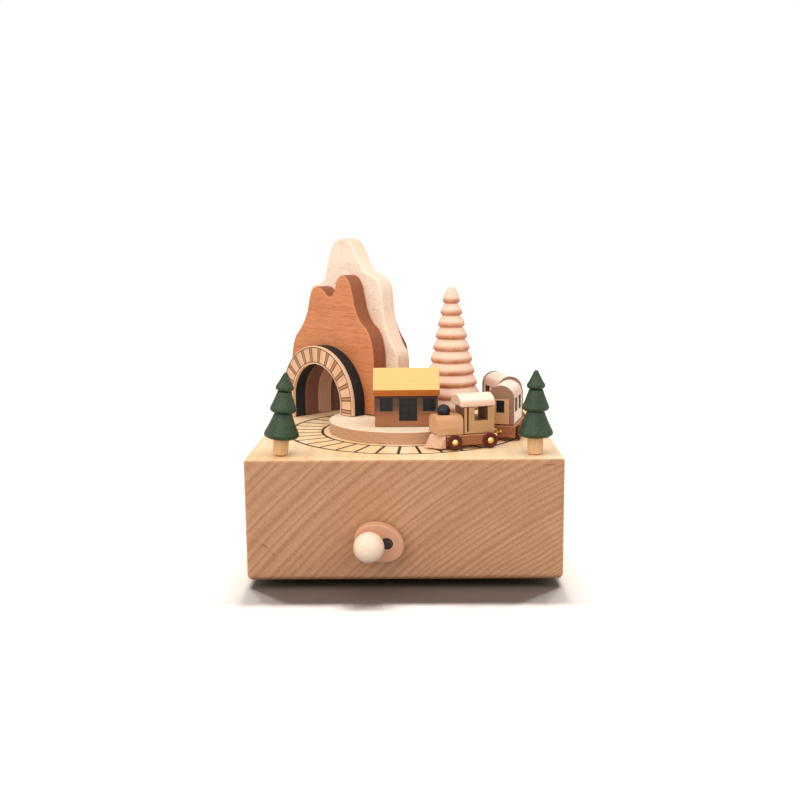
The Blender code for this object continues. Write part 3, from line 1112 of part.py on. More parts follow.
def make_wagon(name, place, heading):
    """A wagon: chassis, body with side windows, two ends with doors, roof and wheels."""
    wagon = vehicle_frame(name, place, heading)
    side = CHASSIS_WIDTH / 2
    chassis = block(name + "_chassis", (-WAGON_HALF_LENGTH, -side, CHASSIS_BOTTOM),
                    (WAGON_HALF_LENGTH, side, WAGON_CHASSIS_TOP), RED_WOOD, wagon, edge=0.3 * MM)
    axle_holes(name, chassis, wagon, (WAGON_AXLE, -WAGON_AXLE))
    floor = WAGON_CHASSIS_TOP + GAP
    half = BODY_WIDTH / 2
    inner_end = WAGON_END - WAGON_END_THICKNESS - GAP
    wall_top = WAGON_SPRING - GAP
    body = block(name + "_body", (-inner_end, -half, floor), (inner_end, half, wall_top), ORANGE_WOOD, wagon)
    for mark, sign in (("front", 1), ("rear", -1)):
        near = sign * WAGON_POST / 2
        far = sign * (WAGON_POST / 2 + WAGON_WINDOW)
        window = block(f"{name}_window_cutter_{mark}", (min(near, far), -CHASSIS_WIDTH, WAGON_SILL),
                       (max(near, far), CHASSIS_WIDTH, WAGON_SPRING + MM), parent=wagon)
        cut(body, window)
    roof_radius = WAGON_END_RADIUS - 0.2 * MM
    board(name + "_roof", [(roof_radius, WAGON_SPRING)] + arc((0, WAGON_SPRING), roof_radius, 0, 180, 14)[1:],
          2 * inner_end, upright((0, 1, 0), (1, 0, 0), (0, 0, 0)), WHITE_WOOD, wagon)
    for mark, sign in (("front", 1), ("rear", -1)):
        middle = sign * (WAGON_END - WAGON_END_THICKNESS / 2)
        end = board(f"{name}_{mark}_end", end_outline(WAGON_END_RADIUS, floor, WAGON_SPRING), WAGON_END_THICKNESS,
                    upright((0, 1, 0), (1, 0, 0), (middle, 0, 0)), DARK_WOOD, wagon, resolution=1)
        outside = sign * (WAGON_END + WAGON_DOOR_THICKNESS)
        door = block(f"{name}_door_cutter_{mark}", (min(middle, outside), -WAGON_DOOR_WIDTH / 2, floor + GAP),
                     (max(middle, outside), WAGON_DOOR_WIDTH / 2, WAGON_DOOR_TOP), parent=wagon)
        join(end, door)
        half_pane = WAGON_DOOR_WINDOW[0] / 2
        pane_top = WAGON_DOOR_TOP - DOOR_RAIL
        beyond = outside + sign * MM
        pane = block(f"{name}_pane_cutter_{mark}",
                     (min(outside - sign * PANE_DEPTH, beyond), -half_pane, pane_top - WAGON_DOOR_WINDOW[1]),
                     (max(outside - sign * PANE_DEPTH, beyond), half_pane, pane_top), parent=wagon)
        cut(end, pane)
    make_wheel_set(name + "_front_wheels", wagon, WAGON_AXLE)
    make_wheel_set(name + "_rear_wheels", wagon, -WAGON_AXLE)
    return wagon


make_case()
make_crank()
make_movement()
make_cylinder()
make_spindle()
make_platform()
make_mountain()
make_house()
make_turned_tree()
make_small_trees()
locomotive = make_loco()
first_wagon = make_wagon("wagon_1", WAGON_PLACES[0], WAGON_HEADINGS[0])
second_wagon = make_wagon("wagon_2", WAGON_PLACES[1], WAGON_HEADINGS[1])
make_coupling("loco", locomotive, LOCO_REAR, "wagon_1", first_wagon, WAGON_HALF_LENGTH)
make_coupling("wagon_1", first_wagon, -WAGON_HALF_LENGTH, "wagon_2", second_wagon, WAGON_HALF_LENGTH)
bpy.context.view_layer.update()
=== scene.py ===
"""The wooden music box dressed for its photograph: its visible pieces, finishes, light and camera."""
import math

import bpy
from mathutils import Euler, Matrix, Vector


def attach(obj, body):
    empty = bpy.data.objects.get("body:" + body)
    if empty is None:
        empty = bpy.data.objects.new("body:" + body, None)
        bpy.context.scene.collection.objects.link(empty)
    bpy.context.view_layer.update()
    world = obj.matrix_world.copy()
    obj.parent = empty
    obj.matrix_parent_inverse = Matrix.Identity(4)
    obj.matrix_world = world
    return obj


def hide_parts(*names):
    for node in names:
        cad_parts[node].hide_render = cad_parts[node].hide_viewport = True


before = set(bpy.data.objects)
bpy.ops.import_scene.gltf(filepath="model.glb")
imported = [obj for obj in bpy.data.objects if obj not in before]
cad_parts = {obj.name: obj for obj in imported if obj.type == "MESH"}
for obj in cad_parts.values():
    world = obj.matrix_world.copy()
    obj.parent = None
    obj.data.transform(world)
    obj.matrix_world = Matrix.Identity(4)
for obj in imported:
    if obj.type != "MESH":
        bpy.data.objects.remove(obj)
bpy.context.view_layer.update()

# Sizes and places are in millimetres, and become metres where they go to Blender
MM = 0.001
GAP = 0.3
TINY = 1e-4

# Where the pieces stand and how large they are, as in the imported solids
CASE_HALF = 60.0
CASE_Y = 8.575
CASE_FOOT = 2.8
CASE_WALL = 10.0
DECK = 49.5
DECK_THICKNESS = 3.2
PLATE_THICKNESS = 3.2
HOLLOW_CORNER = 14.0
FOOT_X = 34.0
FOOT_Y = 40.0
FRONT = CASE_Y - CASE_HALF
BED_SCREWS = (("rear", -11.0, 12.0), ("front", 26.0, -10.0))
CRANK_X = -6.5
CRANK_Z = 19.0
CRANK_FACE = FRONT - 6.0
KNOB_X = CRANK_X - 6.4
KNOB_Z = CRANK_Z + 0.45
PLATFORM_TOP = DECK + 5.0
PLATFORM_RADIUS = 32.5
TREE_SPOT = (20.2, CASE_Y + 6.2)
TREE_TIERS = 10
TIER_HEIGHT = 5.04
TRACK = 42.75
OUTER_RAIL, OUTER_RAIL_HALF = 50.0, 0.50
INNER_RAIL, INNER_RAIL_HALF = 35.5, 0.48
TIE_ANGLE = math.radians(10.0)
TIE_SHIFT = 100.7604
TIE_REACH = 7.2
TIE_HALF = 0.48
TUNNEL = 16.6
ARCH = 24.6
SPRING = 9.7
STONE_ANGLE = math.radians(15.0)
STONE_HEIGHT = 5.4
MOUNTAIN_TURN = math.radians(45)
MOUNTAIN_FRONT = -14.2
BOARD_FACE = (math.sin(MOUNTAIN_TURN), math.cos(MOUNTAIN_TURN), 0)
STANDS = {"loco": ((24.4, -35.9), math.radians(198.0)),
          "wagon_1": ((41.6, -15.9), math.radians(-106.0)),
          "wagon_2": ((42.5, 11.4), math.radians(-75.0))}
CHASSIS_HALF = 6.1
BODY_HALF = 5.3
LOCO_REAR = -9.15
WAGON_END = 11.5
AXLE_HEIGHT = 3.2
EYE_HEIGHT = 4.0
WINDOW_HALF = 3.12

# How much longer a smooth point's heading is than its handles
HANDLE = 2.5614


# Making pieces

def let_go():
    """Leave edit mode, with nothing picked."""
    if bpy.context.object and bpy.context.object.mode == "EDIT":
        bpy.ops.object.mode_set(mode="OBJECT")
    bpy.ops.object.select_all(action="DESELECT")


def take(piece):
    """Lay hands on one piece alone."""
    let_go()
    piece.select_set(True)
    bpy.context.view_layer.objects.active = piece


def put(piece, place):
    """Move a piece to its place and fix the place in its mesh."""
    take(piece)
    piece.matrix_world = place
    bpy.ops.object.transform_apply(location=True, rotation=True, scale=True)


def pick(piece, kind, test):
    """Select the corners, or the edges by their two ends, that pass the test, and stay in edit mode."""
    take(piece)
    bpy.ops.object.mode_set(mode="EDIT")
    bpy.ops.mesh.select_mode(type=kind)
    bpy.ops.mesh.select_all(action="DESELECT")
    bpy.ops.object.mode_set(mode="OBJECT")
    corners = piece.data.vertices
    if kind == "VERT":
        for corner in corners:
            corner.select = test(corner.co / MM)
    else:
        for edge in piece.data.edges:
            edge.select = test(*(corners[index].co / MM for index in edge.vertices))
    bpy.ops.object.mode_set(mode="EDIT")


def ease(piece, edge, segments, test):
    """Round the edges that pass the test."""
    pick(piece, "EDGE", test)
    bpy.ops.mesh.bevel(offset=edge * MM, segments=segments, affect="EDGES")


def drawn(name, points):
    """A new piece that is only a line through the points, in edit mode."""
    let_go()
    bpy.ops.mesh.primitive_plane_add(size=MM)
    piece = bpy.context.object
    piece.name = name
    bpy.ops.object.mode_set(mode="EDIT")
    bpy.ops.mesh.select_mode(type="VERT")
    bpy.ops.mesh.select_all(action="SELECT")
    bpy.ops.mesh.merge(type="CENTER")
    here = Vector((0, 0, 0))
    for index, point in enumerate(points):
        there = Vector(point) * MM
        if index == 0:
            bpy.ops.transform.translate(value=there)
        else:
            bpy.ops.mesh.extrude_vertices_move(TRANSFORM_OT_translate={"value": there - here})
        here = there
    return piece


def sawn(name, outline, thickness, place, edge=0.3, segments=3):
    """A board sawn to an outline (across, up), its rims eased, put where it belongs."""
    piece = drawn(name, [(across, up, -thickness / 2) for across, up in outline])
    bpy.ops.object.mode_set(mode="OBJECT")
    corners = piece.data.vertices
    ends = [corners[index].co / MM for index in (0, len(corners) - 1)]
    pick(piece, "VERT", lambda co: min((co - end).length for end in ends) < TINY)
    bpy.ops.mesh.edge_face_add()
    bpy.ops.mesh.select_all(action="SELECT")
    bpy.ops.mesh.edge_face_add()
    bpy.ops.mesh.extrude_region_move(TRANSFORM_OT_translate={"value": (0, 0, thickness * MM)})
    bpy.ops.mesh.select_all(action="SELECT")
    bpy.ops.mesh.normals_make_consistent(inside=False)
    if edge:
        ease(piece, edge, segments, lambda a, b: abs(a.z - b.z) < TINY)
    put(piece, place)
    return piece


def turned(name, profile, place, steps=64):
    """A piece turned on the lathe, from its profile: radius and height, from the top down."""
    piece = drawn(name, [(radius, 0.0, height) for radius, height in profile])
    bpy.ops.mesh.select_all(action="SELECT")
    bpy.ops.mesh.spin(steps=steps, angle=2 * math.pi, center=(0, 0, 0), axis=(0, 0, 1), use_auto_merge=True)
    bpy.ops.mesh.select_all(action="SELECT")
    bpy.ops.mesh.remove_doubles(threshold=2e-6)
    bpy.ops.mesh.normals_make_consistent(inside=False)
    put(piece, place)
    return piece


def block(name, low, high, place=None, edge=0.0):
    """A sawn block between two corners, its edges eased."""
    let_go()
    low, high = Vector(low) * MM, Vector(high) * MM
    bpy.ops.mesh.primitive_cube_add(size=1.0, location=(low + high) / 2, scale=high - low)
    piece = bpy.context.object
    piece.name = name
    bpy.ops.object.transform_apply(location=True, rotation=True, scale=True)
    if edge:
        bpy.ops.object.mode_set(mode="EDIT")
        bpy.ops.mesh.select_all(action="SELECT")
        bpy.ops.mesh.bevel(offset=edge * MM, segments=3, affect="EDGES", clamp_overlap=True)
    put(piece, place or Matrix.Identity(4))
    return piece


def across_block(name, sign, near, far_off, half, low, high, place, edge=0.0):
    """A block that reaches as far to the left as to the right of a vehicle, ahead of or behind its middle."""
    back, front = sorted((sign * near, sign * far_off))
    return block(name, (back, -half, low), (front, half, high), place, edge)


def square(name, half, low, high, edge=0.0):
    """A square block about the middle of the case."""
    return block(name, (-half, CASE_Y - half, low), (half, CASE_Y + half, high), edge=edge)


def cut(piece, *cutters):
    """Take shapes out of a piece, and clear them away."""
    for cutter in cutters:
        saw = piece.modifiers.new("saw", "BOOLEAN")
        saw.operation = "DIFFERENCE"
        saw.solver = "EXACT"
        saw.object = cutter
        take(piece)
        bpy.ops.object.modifier_apply(modifier=saw.name)
        bpy.data.objects.remove(cutter, do_unlink=True)


def cut_cross(screw, place, long_arm, half, low, high):
    """Cut a cross into a screw's head."""
    for x, y in ((half, long_arm), (long_arm, half)):
        cut(screw, block("cross", (-x, -y, low), (x, y, high), place))


def joined(name, *pieces):
    """Several loose pieces made one object."""
    take(pieces[0])
    for piece in pieces:
        piece.select_set(True)
    bpy.ops.object.join()
    whole = bpy.context.object
    whole.name = name
    return whole


def fit(piece, body, finish, slot, *nodes, degrees=35):
    """Smooth a piece's round faces, finish it, hang it on its body, and hide the solids it stands for."""
    take(piece)
    bpy.ops.object.shade_smooth_by_angle(angle=math.radians(degrees), keep_sharp_edges=False)
    flats = piece.modifiers.new("flats stay flat", "WEIGHTED_NORMAL")
    flats.keep_sharp = True
    flats.weight = 50
    bpy.ops.object.modifier_apply(modifier=flats.name)
    piece.data.materials.clear()
    piece.data.materials.append(finish)
    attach(piece, body)
    if nodes:
        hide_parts(*nodes)


# Places and outlines

def at(x, y, z):
    """A place that is only moved."""
    return Matrix.Translation(Vector((x, y, z)) * MM)


def upright(across, towards, origin):
    """A board's place: across and up run as its outline does, towards runs through its thickness."""
    turn = Matrix((Vector(across), (0, 0, 1), Vector(towards))).transposed().to_4x4()
    return at(*origin) @ turn


def end_on(place, x=0.0):
    """A board's place when its outline runs across a vehicle or a house and its thickness along it."""
    return place @ upright((0, 1, 0), (1, 0, 0), (x, 0, 0))


def along(origin, axis):
    """A turned piece's place: its height runs along axis."""
    return at(*origin) @ Vector(axis).to_track_quat("Z", "Y").to_matrix().to_4x4()


def arc(centre, radius, start, end, count, squash=1.0):
    """Points on an arc, both ends included; angles in degrees."""
    points = []
    for index in range(count + 1):
        angle = math.radians(start + (end - start) * index / count)
        points.append((centre[0] + radius * math.cos(angle), centre[1] + squash * radius * math.sin(angle)))
    return points


def stepped(top, *steps):
    """The profile of a stepped rod, from its top down: each step's radius and lower end."""
    profile = [(0, top)]
    for radius, low in steps:
        profile += [(radius, top), (radius, low)]
        top = low
    return profile + [(0, top)]


def flowing(points, smooth, steps):
    """Points along a line that flows through the smooth ones and turns a corner at the others."""
    count = len(points)
    spots = [Vector(point) for point in points]
    before, after = {}, {}
    for index, spot in enumerate(spots):
        previous, following = spots[index - 1], spots[(index + 1) % count]
        if index in smooth:
            back, on = spot - previous, following - spot
            heading = back.normalized() + on.normalized()
            reach = heading.length * HANDLE
            before[index] = spot - heading * back.length / reach
            after[index] = spot + heading * on.length / reach
        else:
            before[index] = spot + (previous - spot) / 3
            after[index] = spot + (following - spot) / 3
    line = []
    for index in range(count - 1):
        line.append(spots[index])
        if index in smooth or index + 1 in smooth:
            a, b, c, d = spots[index], after[index], before[index + 1], spots[index + 1]
            for step in range(1, steps):
                t = step / steps
                rest = 1 - t
                line.append(a * rest ** 3 + b * 3 * t * rest ** 2 + c * 3 * t * t * rest + d * t ** 3)
    line.append(spots[-1])
    return [tuple(spot) for spot in line]


# Nodes

class Value:
    """An output in a tree of nodes; arithmetic with it adds Math nodes."""

    def __init__(self, nodes, socket):
        self.nodes = nodes
        self.socket = socket

    def math(self, operation, *others):
        return self.nodes.math(operation, self, *others)

    def __add__(self, other):
        return self.math("ADD", other)

    def __sub__(self, other):
        return self.math("SUBTRACT", other)

    def __rsub__(self, other):
        return self.nodes.math("SUBTRACT", other, self)

    def __mul__(self, other):
        return self.math("MULTIPLY", other)

    def __truediv__(self, other):
        return self.math("DIVIDE", other)

    def __gt__(self, other):
        return self.math("GREATER_THAN", other)

    def __lt__(self, other):
        return self.math("LESS_THAN", other)

    def __abs__(self):
        return self.math("ABSOLUTE")

    def most(self, other):
        """The greater of two values."""
        return self.math("MAXIMUM", other)

    def fraction(self):
        """What is left over a whole number."""
        return self.math("FRACT")

    def log(self):
        """The natural logarithm."""
        return self.math("LOGARITHM", math.e)


def far(x, y):
    """How far a place is from the origin."""
    return (x * x + y * y).math("SQRT")


class Nodes:
    """A tree of nodes, and short ways to add to it."""

    def __init__(self, tree):
        self.tree = tree

    def link(self, value, socket):
        """Give an input its value: another node's output, a number, a vector or a colour."""
        if isinstance(value, Value):
            self.tree.links.new(value.socket, socket)
        elif socket.type == "RGBA":
            socket.default_value = (*value, 1.0)
        else:
            socket.default_value = value

    def node(self, kind, inputs=None, output=0, **settings):
        """Add a node, set it up, set or link its inputs, and give back one of its outputs."""
        made = self.tree.nodes.new("ShaderNode" + kind)
        for key, value in settings.items():
            setattr(made, key, value)
        for key, value in (inputs or {}).items():
            self.link(value, made.inputs[key])
        return Value(self, made.outputs[output])

    def math(self, operation, *values):
        """A Math node."""
        return self.node("Math", dict(enumerate(values)), operation=operation)

    def mix(self, share, first, second, blend="MIX"):
        """Blend two colours."""
        return self.node("Mix", {0: share, 6: first, 7: second}, 2, data_type="RGBA", blend_type=blend)

    def ramp(self, value, *stops):
        """A ramp of greys from pairs of place and tone."""
        made = self.tree.nodes.new("ShaderNodeValToRGB")
        self.link(value, made.inputs[0])
        bar = made.color_ramp.elements
        while len(bar) > 1:
            bar.remove(bar[-1])
        for index, (place, tone) in enumerate(stops):
            stop = bar[0] if index == 0 else bar.new(place)
            stop.position = place
            stop.color = (tone, tone, tone, 1.0)
        return Value(self, made.outputs[0])

    def rise(self, value, low, high, start=0.0, end=1.0):
        """A smooth step from start to end while the value goes from low to high."""
        return self.node("MapRange", {"Value": value, "From Min": low, "From Max": high,
                                      "To Min": start, "To Max": end}, interpolation_type="SMOOTHSTEP")

    def line(self, value, half, soft):
        """1 where the value is within half of zero, falling to 0 over soft."""
        return self.rise(abs(value), half, half + soft, 1.0, 0.0)

    def split(self, vector):
        """The three parts of a vector."""
        made = self.tree.nodes.new("ShaderNodeSeparateXYZ")
        self.link(vector, made.inputs[0])
        return [Value(self, output) for output in made.outputs]

    def spot(self, origin=(0, 0, 0), turn=(0, 0, 0)):
        """Places in millimetres from an origin, turned so that X runs with the grain."""
        shift = -(Euler(turn).to_matrix() @ Vector(origin))
        return self.node("Mapping", {"Vector": self.node("TexCoord", output=3), "Location": shift,
                                     "Rotation": turn, "Scale": (1 / MM, 1 / MM, 1 / MM)})

    def noise(self, spot, scale, detail=2.0, roughness=0.5, stretch=None, offset=(0, 0, 0)):
        """Soft noise from 0 to 1, drawn out where stretch is below 1."""
        if stretch:
            spot = self.node("Mapping", {"Vector": spot, "Location": offset, "Scale": stretch})
        inputs = {"Vector": spot, "Scale": scale, "Detail": detail, "Roughness": roughness}
        return self.node("TexNoise", inputs, noise_dimensions="3D")

    def noise_over(self, value, scale, detail):
        """Soft noise from 0 to 1 that changes with one value."""
        return self.node("TexNoise", {"W": value, "Scale": scale, "Detail": detail}, noise_dimensions="1D")


class Finish(Nodes):
    """One material and the nodes that make its pattern."""

    def __init__(self, name, roughness=0.5, metallic=0.0, shine=0.25):
        self.material = bpy.data.materials.new(name)
        self.material.use_nodes = True
        super().__init__(self.material.node_tree)
        self.inputs = self.tree.nodes["Principled BSDF"].inputs
        self.inputs["Roughness"].default_value = roughness
        self.inputs["Metallic"].default_value = metallic
        self.inputs["Specular IOR Level"].default_value = shine

    def done(self, colour, rough=None, height=None, depth=0.03, strength=0.5):
        """Link the colour, the roughness and the relief, which is depth high, and give back the material."""
        self.link(colour, self.inputs["Base Color"])
        if rough:
            self.link(rough, self.inputs["Roughness"])
        if height:
            self.link(self.node("Bump", {"Height": height, "Strength": strength, "Distance": depth * MM}),
                      self.inputs["Normal"])
        return self.material

    def facing(self, axis):
        """1 where the surface faces along the axis, either way, and 0 where it is turned from it."""
        normal = self.node("TexCoord", output=1)
        share = self.node("VectorMath", {0: normal, 1: axis}, 1, operation="DOT_PRODUCT")
        return 1.0 - self.line(share, 0.35, 0.4)


# Finishes

def grain(finish, spot, light, dark, rings=3.0, heart=(30.0, -60.0), depth=0.45, streak=0.25, fleck=0.25,
          wave=2.0):
    """The colour and the relief of sawn wood: year rings about a heart, fibres and short dark flecks."""
    drift = finish.noise(spot, 0.05, stretch=(0.05, 1.0, 1.0)) - 0.5
    _, y, z = finish.split(spot)
    reach = drift * (wave * 2) + far(y - heart[0], z - heart[1])
    if rings:
        count = reach / rings
    else:
        count = (reach + 70.0).log() * 61.7
    phase = (finish.noise_over(reach, 0.11, 1.0) * 1.4 + count).fraction()
    ring = finish.ramp(phase, (0.0, 0.1), (0.45, 0.0), (0.8, 0.55), (0.93, 1.0), (1.0, 0.1))
    fibre = finish.noise(spot, 1.9, 4.0, 0.62, (0.06, 1.0, 1.0))
    broad = finish.noise(spot, 0.07, 1.0, stretch=(0.2, 1.0, 1.0), offset=(7, 3, 1))
    fine = finish.noise(spot, 2.6, 1.0, stretch=(0.16, 1.0, 1.0), offset=(3, 9, 5))
    flecks = finish.ramp(fine, (0.60, 0.0), (0.72, 1.0))
    tone = ring * depth + (fibre - 0.5) * (streak * 3.0) + flecks * fleck + (broad - 0.5) * 0.8
    colour = finish.mix(finish.node("Clamp", {"Value": tone + 0.12}), light, dark)
    return colour, fibre - flecks * 0.5, fibre


def wood(name, light, dark, origin=(0, 0, 0), turn=(0, 0, 0), roughness=0.5, edges=None, room=None,
         **pattern):
    """A wood finish; edges tints what isn't level, a painted shade on the sides with some darker end grain,
    and room paints shade inside window openings.
    """
    finish = Finish(name, roughness)
    spot = finish.spot(origin, turn)
    colour, height, fibre = grain(finish, spot, light, dark, **pattern)
    # Painted shade: the inner faces of window openings are darkened like a dark interior
    if room:
        x, y, z = finish.split(spot)
        middle, wall, sill = room
        inside = finish.line(y, wall - 0.2, 0.15)
        within = finish.line(abs(x) - middle, WINDOW_HALF, 0.1) * inside * (z > sill)
        colour = finish.mix(within * 0.85, colour, (0.13, 0.048, 0.026))
    # Painted shade on what isn't level, with some darker end grain
    if edges:
        colour = finish.mix(1.0 - finish.facing((0, 0, 1)), colour, edges, "MULTIPLY")
    return finish.done(colour, fibre * 0.2 + (roughness - 0.1), height)


def end_grain(finish, spot):
    """The case's end grain: rings about a heart below its right side, pores, rays and four knots."""
    x, y, z = finish.split(spot)
    aside, above = y + 189.0, z + 260.0
    waver = finish.noise(spot, 0.045, stretch=(0.02, 1.0, 1.0)) - 0.5
    reach = waver * 2.2 + far(aside, above)
    count = (reach - 165.0).log() * 50.0
    phase = (finish.noise_over(reach, 0.12, 2.0) * 1.7 + count).fraction()
    ring = finish.ramp(phase, (0.0, 0.75), (0.14, 0.12), (0.36, 0.0), (0.62, 0.40), (0.86, 1.0), (1.0, 0.8))
    patchy = finish.noise(spot, 0.05, stretch=(0.1, 1.0, 1.0), offset=(3, 3, 8))
    force = finish.noise_over(reach, 0.36, 1.0) + (patchy * 0.8 - 0.45)
    pores = finish.noise(spot, 1.5, 2.0, 0.6, (0.1, 1.0, 1.0), (5, 1, 2))
    rays = finish.noise_over(above.math("ARCTAN2", aside), 420.0, 2.0)
    tone = (ring - 0.42) * force + 0.46 + (pores - 0.5) * 0.75 + (rays - 0.5) * 0.30 - (patchy - 0.5) * 0.5
    colour = finish.mix(finish.node("Clamp", {"Value": tone}), (0.585, 0.325, 0.185), (0.37, 0.158, 0.070))
    for knot_x, knot_z, length, width, tilt, share in ((-52.6, 16.6, 2.5, 0.35, -38, 0.75),
                                                       (56.2, 10.1, 0.8, 0.3, -30, 0.8),
                                                       (54.4, 47.2, 3.2, 0.5, 4, 0.6),
                                                       (-49.6, 13.6, 1.6, 0.9, -38, 0.25)):
        cosine, sine = math.cos(math.radians(tilt)), math.sin(math.radians(tilt))
        left = y * -1.0 - knot_x
        over = z - (knot_z - DECK)
        knot = (finish.line(left * cosine + over * sine, 0.0, length)
                * finish.line(over * cosine - left * sine, 0.0, width))
        colour = finish.mix(knot * share, colour, (0.10, 0.035, 0.018))
    return colour


def track_lines(finish):
    """1 on the rails and the ties burnt into the deck, and 0 beside them."""
    x, y, z = finish.split(finish.spot((0, CASE_Y, DECK)))
    radius = far(x, y)
    outer = finish.line(radius - OUTER_RAIL, OUTER_RAIL_HALF, 0.25)
    inner = finish.line(radius - INNER_RAIL, INNER_RAIL_HALF, 0.25)
    turn = y.math("ARCTAN2", x) / TIE_ANGLE
    away = ((turn + TIE_SHIFT).fraction() - 0.5) * TIE_ANGLE * radius
    ties = finish.line(away, TIE_HALF, 0.22) * finish.line(radius - TRACK, TIE_REACH, 0.1)
    return outer.most(inner).most(ties) * (z > -0.2)


def case_wood():
    """The case's beech: long grain, end grain before and behind, and the track burnt into its top."""
    finish = Finish("case wood")
    spot = finish.spot((0, CASE_Y, DECK), (0, 0, math.radians(-90)))
    colour, height, fibre = grain(finish, spot, (0.99, 0.76, 0.48), (0.82, 0.47, 0.22), rings=None,
                                  heart=(-89.0, -125.5), depth=0.32, streak=0.22, fleck=0.14, wave=2.6)
    cloud = finish.noise(spot, 0.05, stretch=(0.35, 1.0, 1.0), offset=(4, 2, 6))
    colour = finish.mix(finish.ramp(cloud, (0.4, 0.0), (0.62, 1.0)), colour, (0.98, 0.86, 0.72), "MULTIPLY")
    colour = finish.mix(finish.facing((0, 1, 0)), colour, end_grain(finish, spot))
    burnt = track_lines(finish)
    colour = finish.mix(burnt * 0.98, colour, (0.016, 0.006, 0.003))
    return finish.done(colour, fibre * 0.2 + 0.38, burnt * -4.0 + height, 0.06)


def house_wall():
    """The house's walls: brown stain, with painted shade that darkens their long sides upwards and most of
    all under the eaves.
    """
    finish = Finish("house wall wood")
    spot = finish.spot((0, CASE_Y, PLATFORM_TOP))
    colour, height, fibre = grain(finish, spot, (0.36, 0.145, 0.062), (0.24, 0.09, 0.038), rings=1.6,
                                  heart=(5, -60), depth=0.3)
    z = finish.split(spot)[2]
    long_side = finish.facing((0, 1, 0))
    # Painted shade: the long sides darken from 3 mm up, and darker still just under the eaves
    colour = finish.mix(finish.rise(z, 3.0, 9.5) * long_side, colour, (0.30, 0.38, 0.47), "MULTIPLY")
    colour = finish.mix(finish.rise(z, 11.2, 12.9) * long_side, colour, (0.20, 0.20, 0.22), "MULTIPLY")
    return finish.done(colour, fibre * 0.2 + 0.42, height)


def tree_wood():
    """The tall tree's beech, with painted shade on the underside of each tier."""
    finish = Finish("turned beech")
    spot = finish.spot((*TREE_SPOT, PLATFORM_TOP), (0, math.radians(90), 0))
    colour, height, fibre = grain(finish, spot, (0.93, 0.66, 0.50), (0.76, 0.44, 0.29), rings=1.9,
                                  heart=(4, 3), depth=0.2, streak=0.22, fleck=0.1)
    z = finish.split(finish.spot((0, 0, PLATFORM_TOP)))[2]
    # Painted shade: the lower part of each tier, its underside, is darkened orange-brown in uneven patches
    tier = ((z + 1.5) / TIER_HEIGHT).fraction()
    patchy_tier_shade = finish.noise(finish.spot(), 0.22, stretch=(1.0, 1.0, 0.3))
    brown = finish.ramp(tier, (0.0, 1.0), (0.22, 0.95), (0.5, 0.0), (0.96, 0.0), (1.0, 1.0))
    brown = brown * finish.ramp(patchy_tier_shade, (0.3, 0.6), (0.6, 1.0)) * (z < 52.0)
    colour = finish.mix(brown, colour, (0.62, 0.31, 0.16), "MULTIPLY")
    return finish.done(colour, fibre * 0.2 + 0.4, height)


def board(name, light, dark, edges, inside, **pattern):
    """A mountain board's wood: darker on its sawn edges, partly darker edge grain and partly painted shade;
    painted shade towards its foot and inside the tunnel.
    """
    finish = Finish(name)
    spot = finish.spot((0, CASE_Y, DECK), (0, 0, MOUNTAIN_TURN))
    colour, height, fibre = grain(finish, spot, light, dark, **pattern)
    # Sawn edges: darker edge grain with painted shade
    colour = finish.mix(1.0 - finish.facing(BOARD_FACE), colour, edges, "MULTIPLY")
    x, _, z = finish.split(spot)
    # Painted shade: darker towards the board's foot
    colour = finish.mix(finish.rise(z, 4.0, 48.0, 1.0, 0.0), colour, (0.86, 0.78, 0.70), "MULTIPLY")
    # Painted shade: the board's faces inside the tunnel take the darker shade colour
    bore = finish.line(far(x + TRACK, (z - SPRING).most(0.0)), TUNNEL + 0.3, 0.2) * 0.85
    shade = finish.mix(finish.ramp(height, (0.3, 0.0), (0.7, 1.0)), inside, [value * 0.7 for value in inside])
    return finish.done(finish.mix(bore, colour, shade), fibre * 0.2 + 0.4, height)


def stone_facing():
    """The arch's facing: pale wood with the joints of dressed stones burnt in."""
    finish = Finish("stone facing", 0.55)
    spot = finish.spot((0, CASE_Y, DECK + SPRING), (0, 0, MOUNTAIN_TURN))
    colour, height, fibre = grain(finish, spot, (0.82, 0.53, 0.33), (0.66, 0.36, 0.19), rings=2.5, depth=0.2,
                                  streak=0.2, fleck=0.1)
    x, y, z = finish.split(spot)
    across, up = x + TRACK, z.most(0.0)
    vault = z > 0.0
    radius = far(across, up)
    stones_round = up.math("ARCTAN2", across) / STONE_ANGLE
    stones_up = z / STONE_HEIGHT + 40.0
    course = stones_round * vault + stones_up * (1.0 - vault)
    within = abs(course.fraction() - 0.5)
    strip = finish.line(within, 0.12, 0.04)
    joint = finish.line(within - 0.13, 0.032, 0.035)
    rims = finish.line(radius - 23.9, 0.14, 0.2).most(finish.line(radius - 17.45, 0.14, 0.2))
    stone = finish.line(radius - 20.7, 3.2, 0.2)
    face = y < MOUNTAIN_FRONT + 0.2
    shade = finish.node("TexWhiteNoise", {"W": course.math("FLOOR")}, noise_dimensions="1D")
    colour = finish.mix(shade * 0.5 * (stone * face), colour, (0.62, 0.30, 0.15))
    colour = finish.mix(strip * stone * (face * 0.85), colour, (0.44, 0.19, 0.075))
    burnt = (joint * stone).most(rims) * face
    colour = finish.mix(burnt * 0.9, colour, (0.11, 0.042, 0.02))
    return finish.done(colour, fibre * 0.2 + 0.45, burnt * -3.0 + height, 0.05)


def stain(name, colour, other, roughness, relief=0.03, scale=0.9):
    """An opaque stain or paint on turned or sawn wood, uneven and with the grain just showing."""
    finish = Finish(name, roughness)
    spot = finish.spot()
    brushed = finish.noise(spot, scale, 3.0, 0.6, (1.0, 1.0, 0.12))
    share = finish.ramp(brushed * 0.5 + finish.noise(spot, 0.25) * 0.5, (0.36, 0.0), (0.66, 1.0))
    return finish.done(finish.mix(share, colour, other), brushed * 0.25 + (roughness - 0.12), brushed, relief)


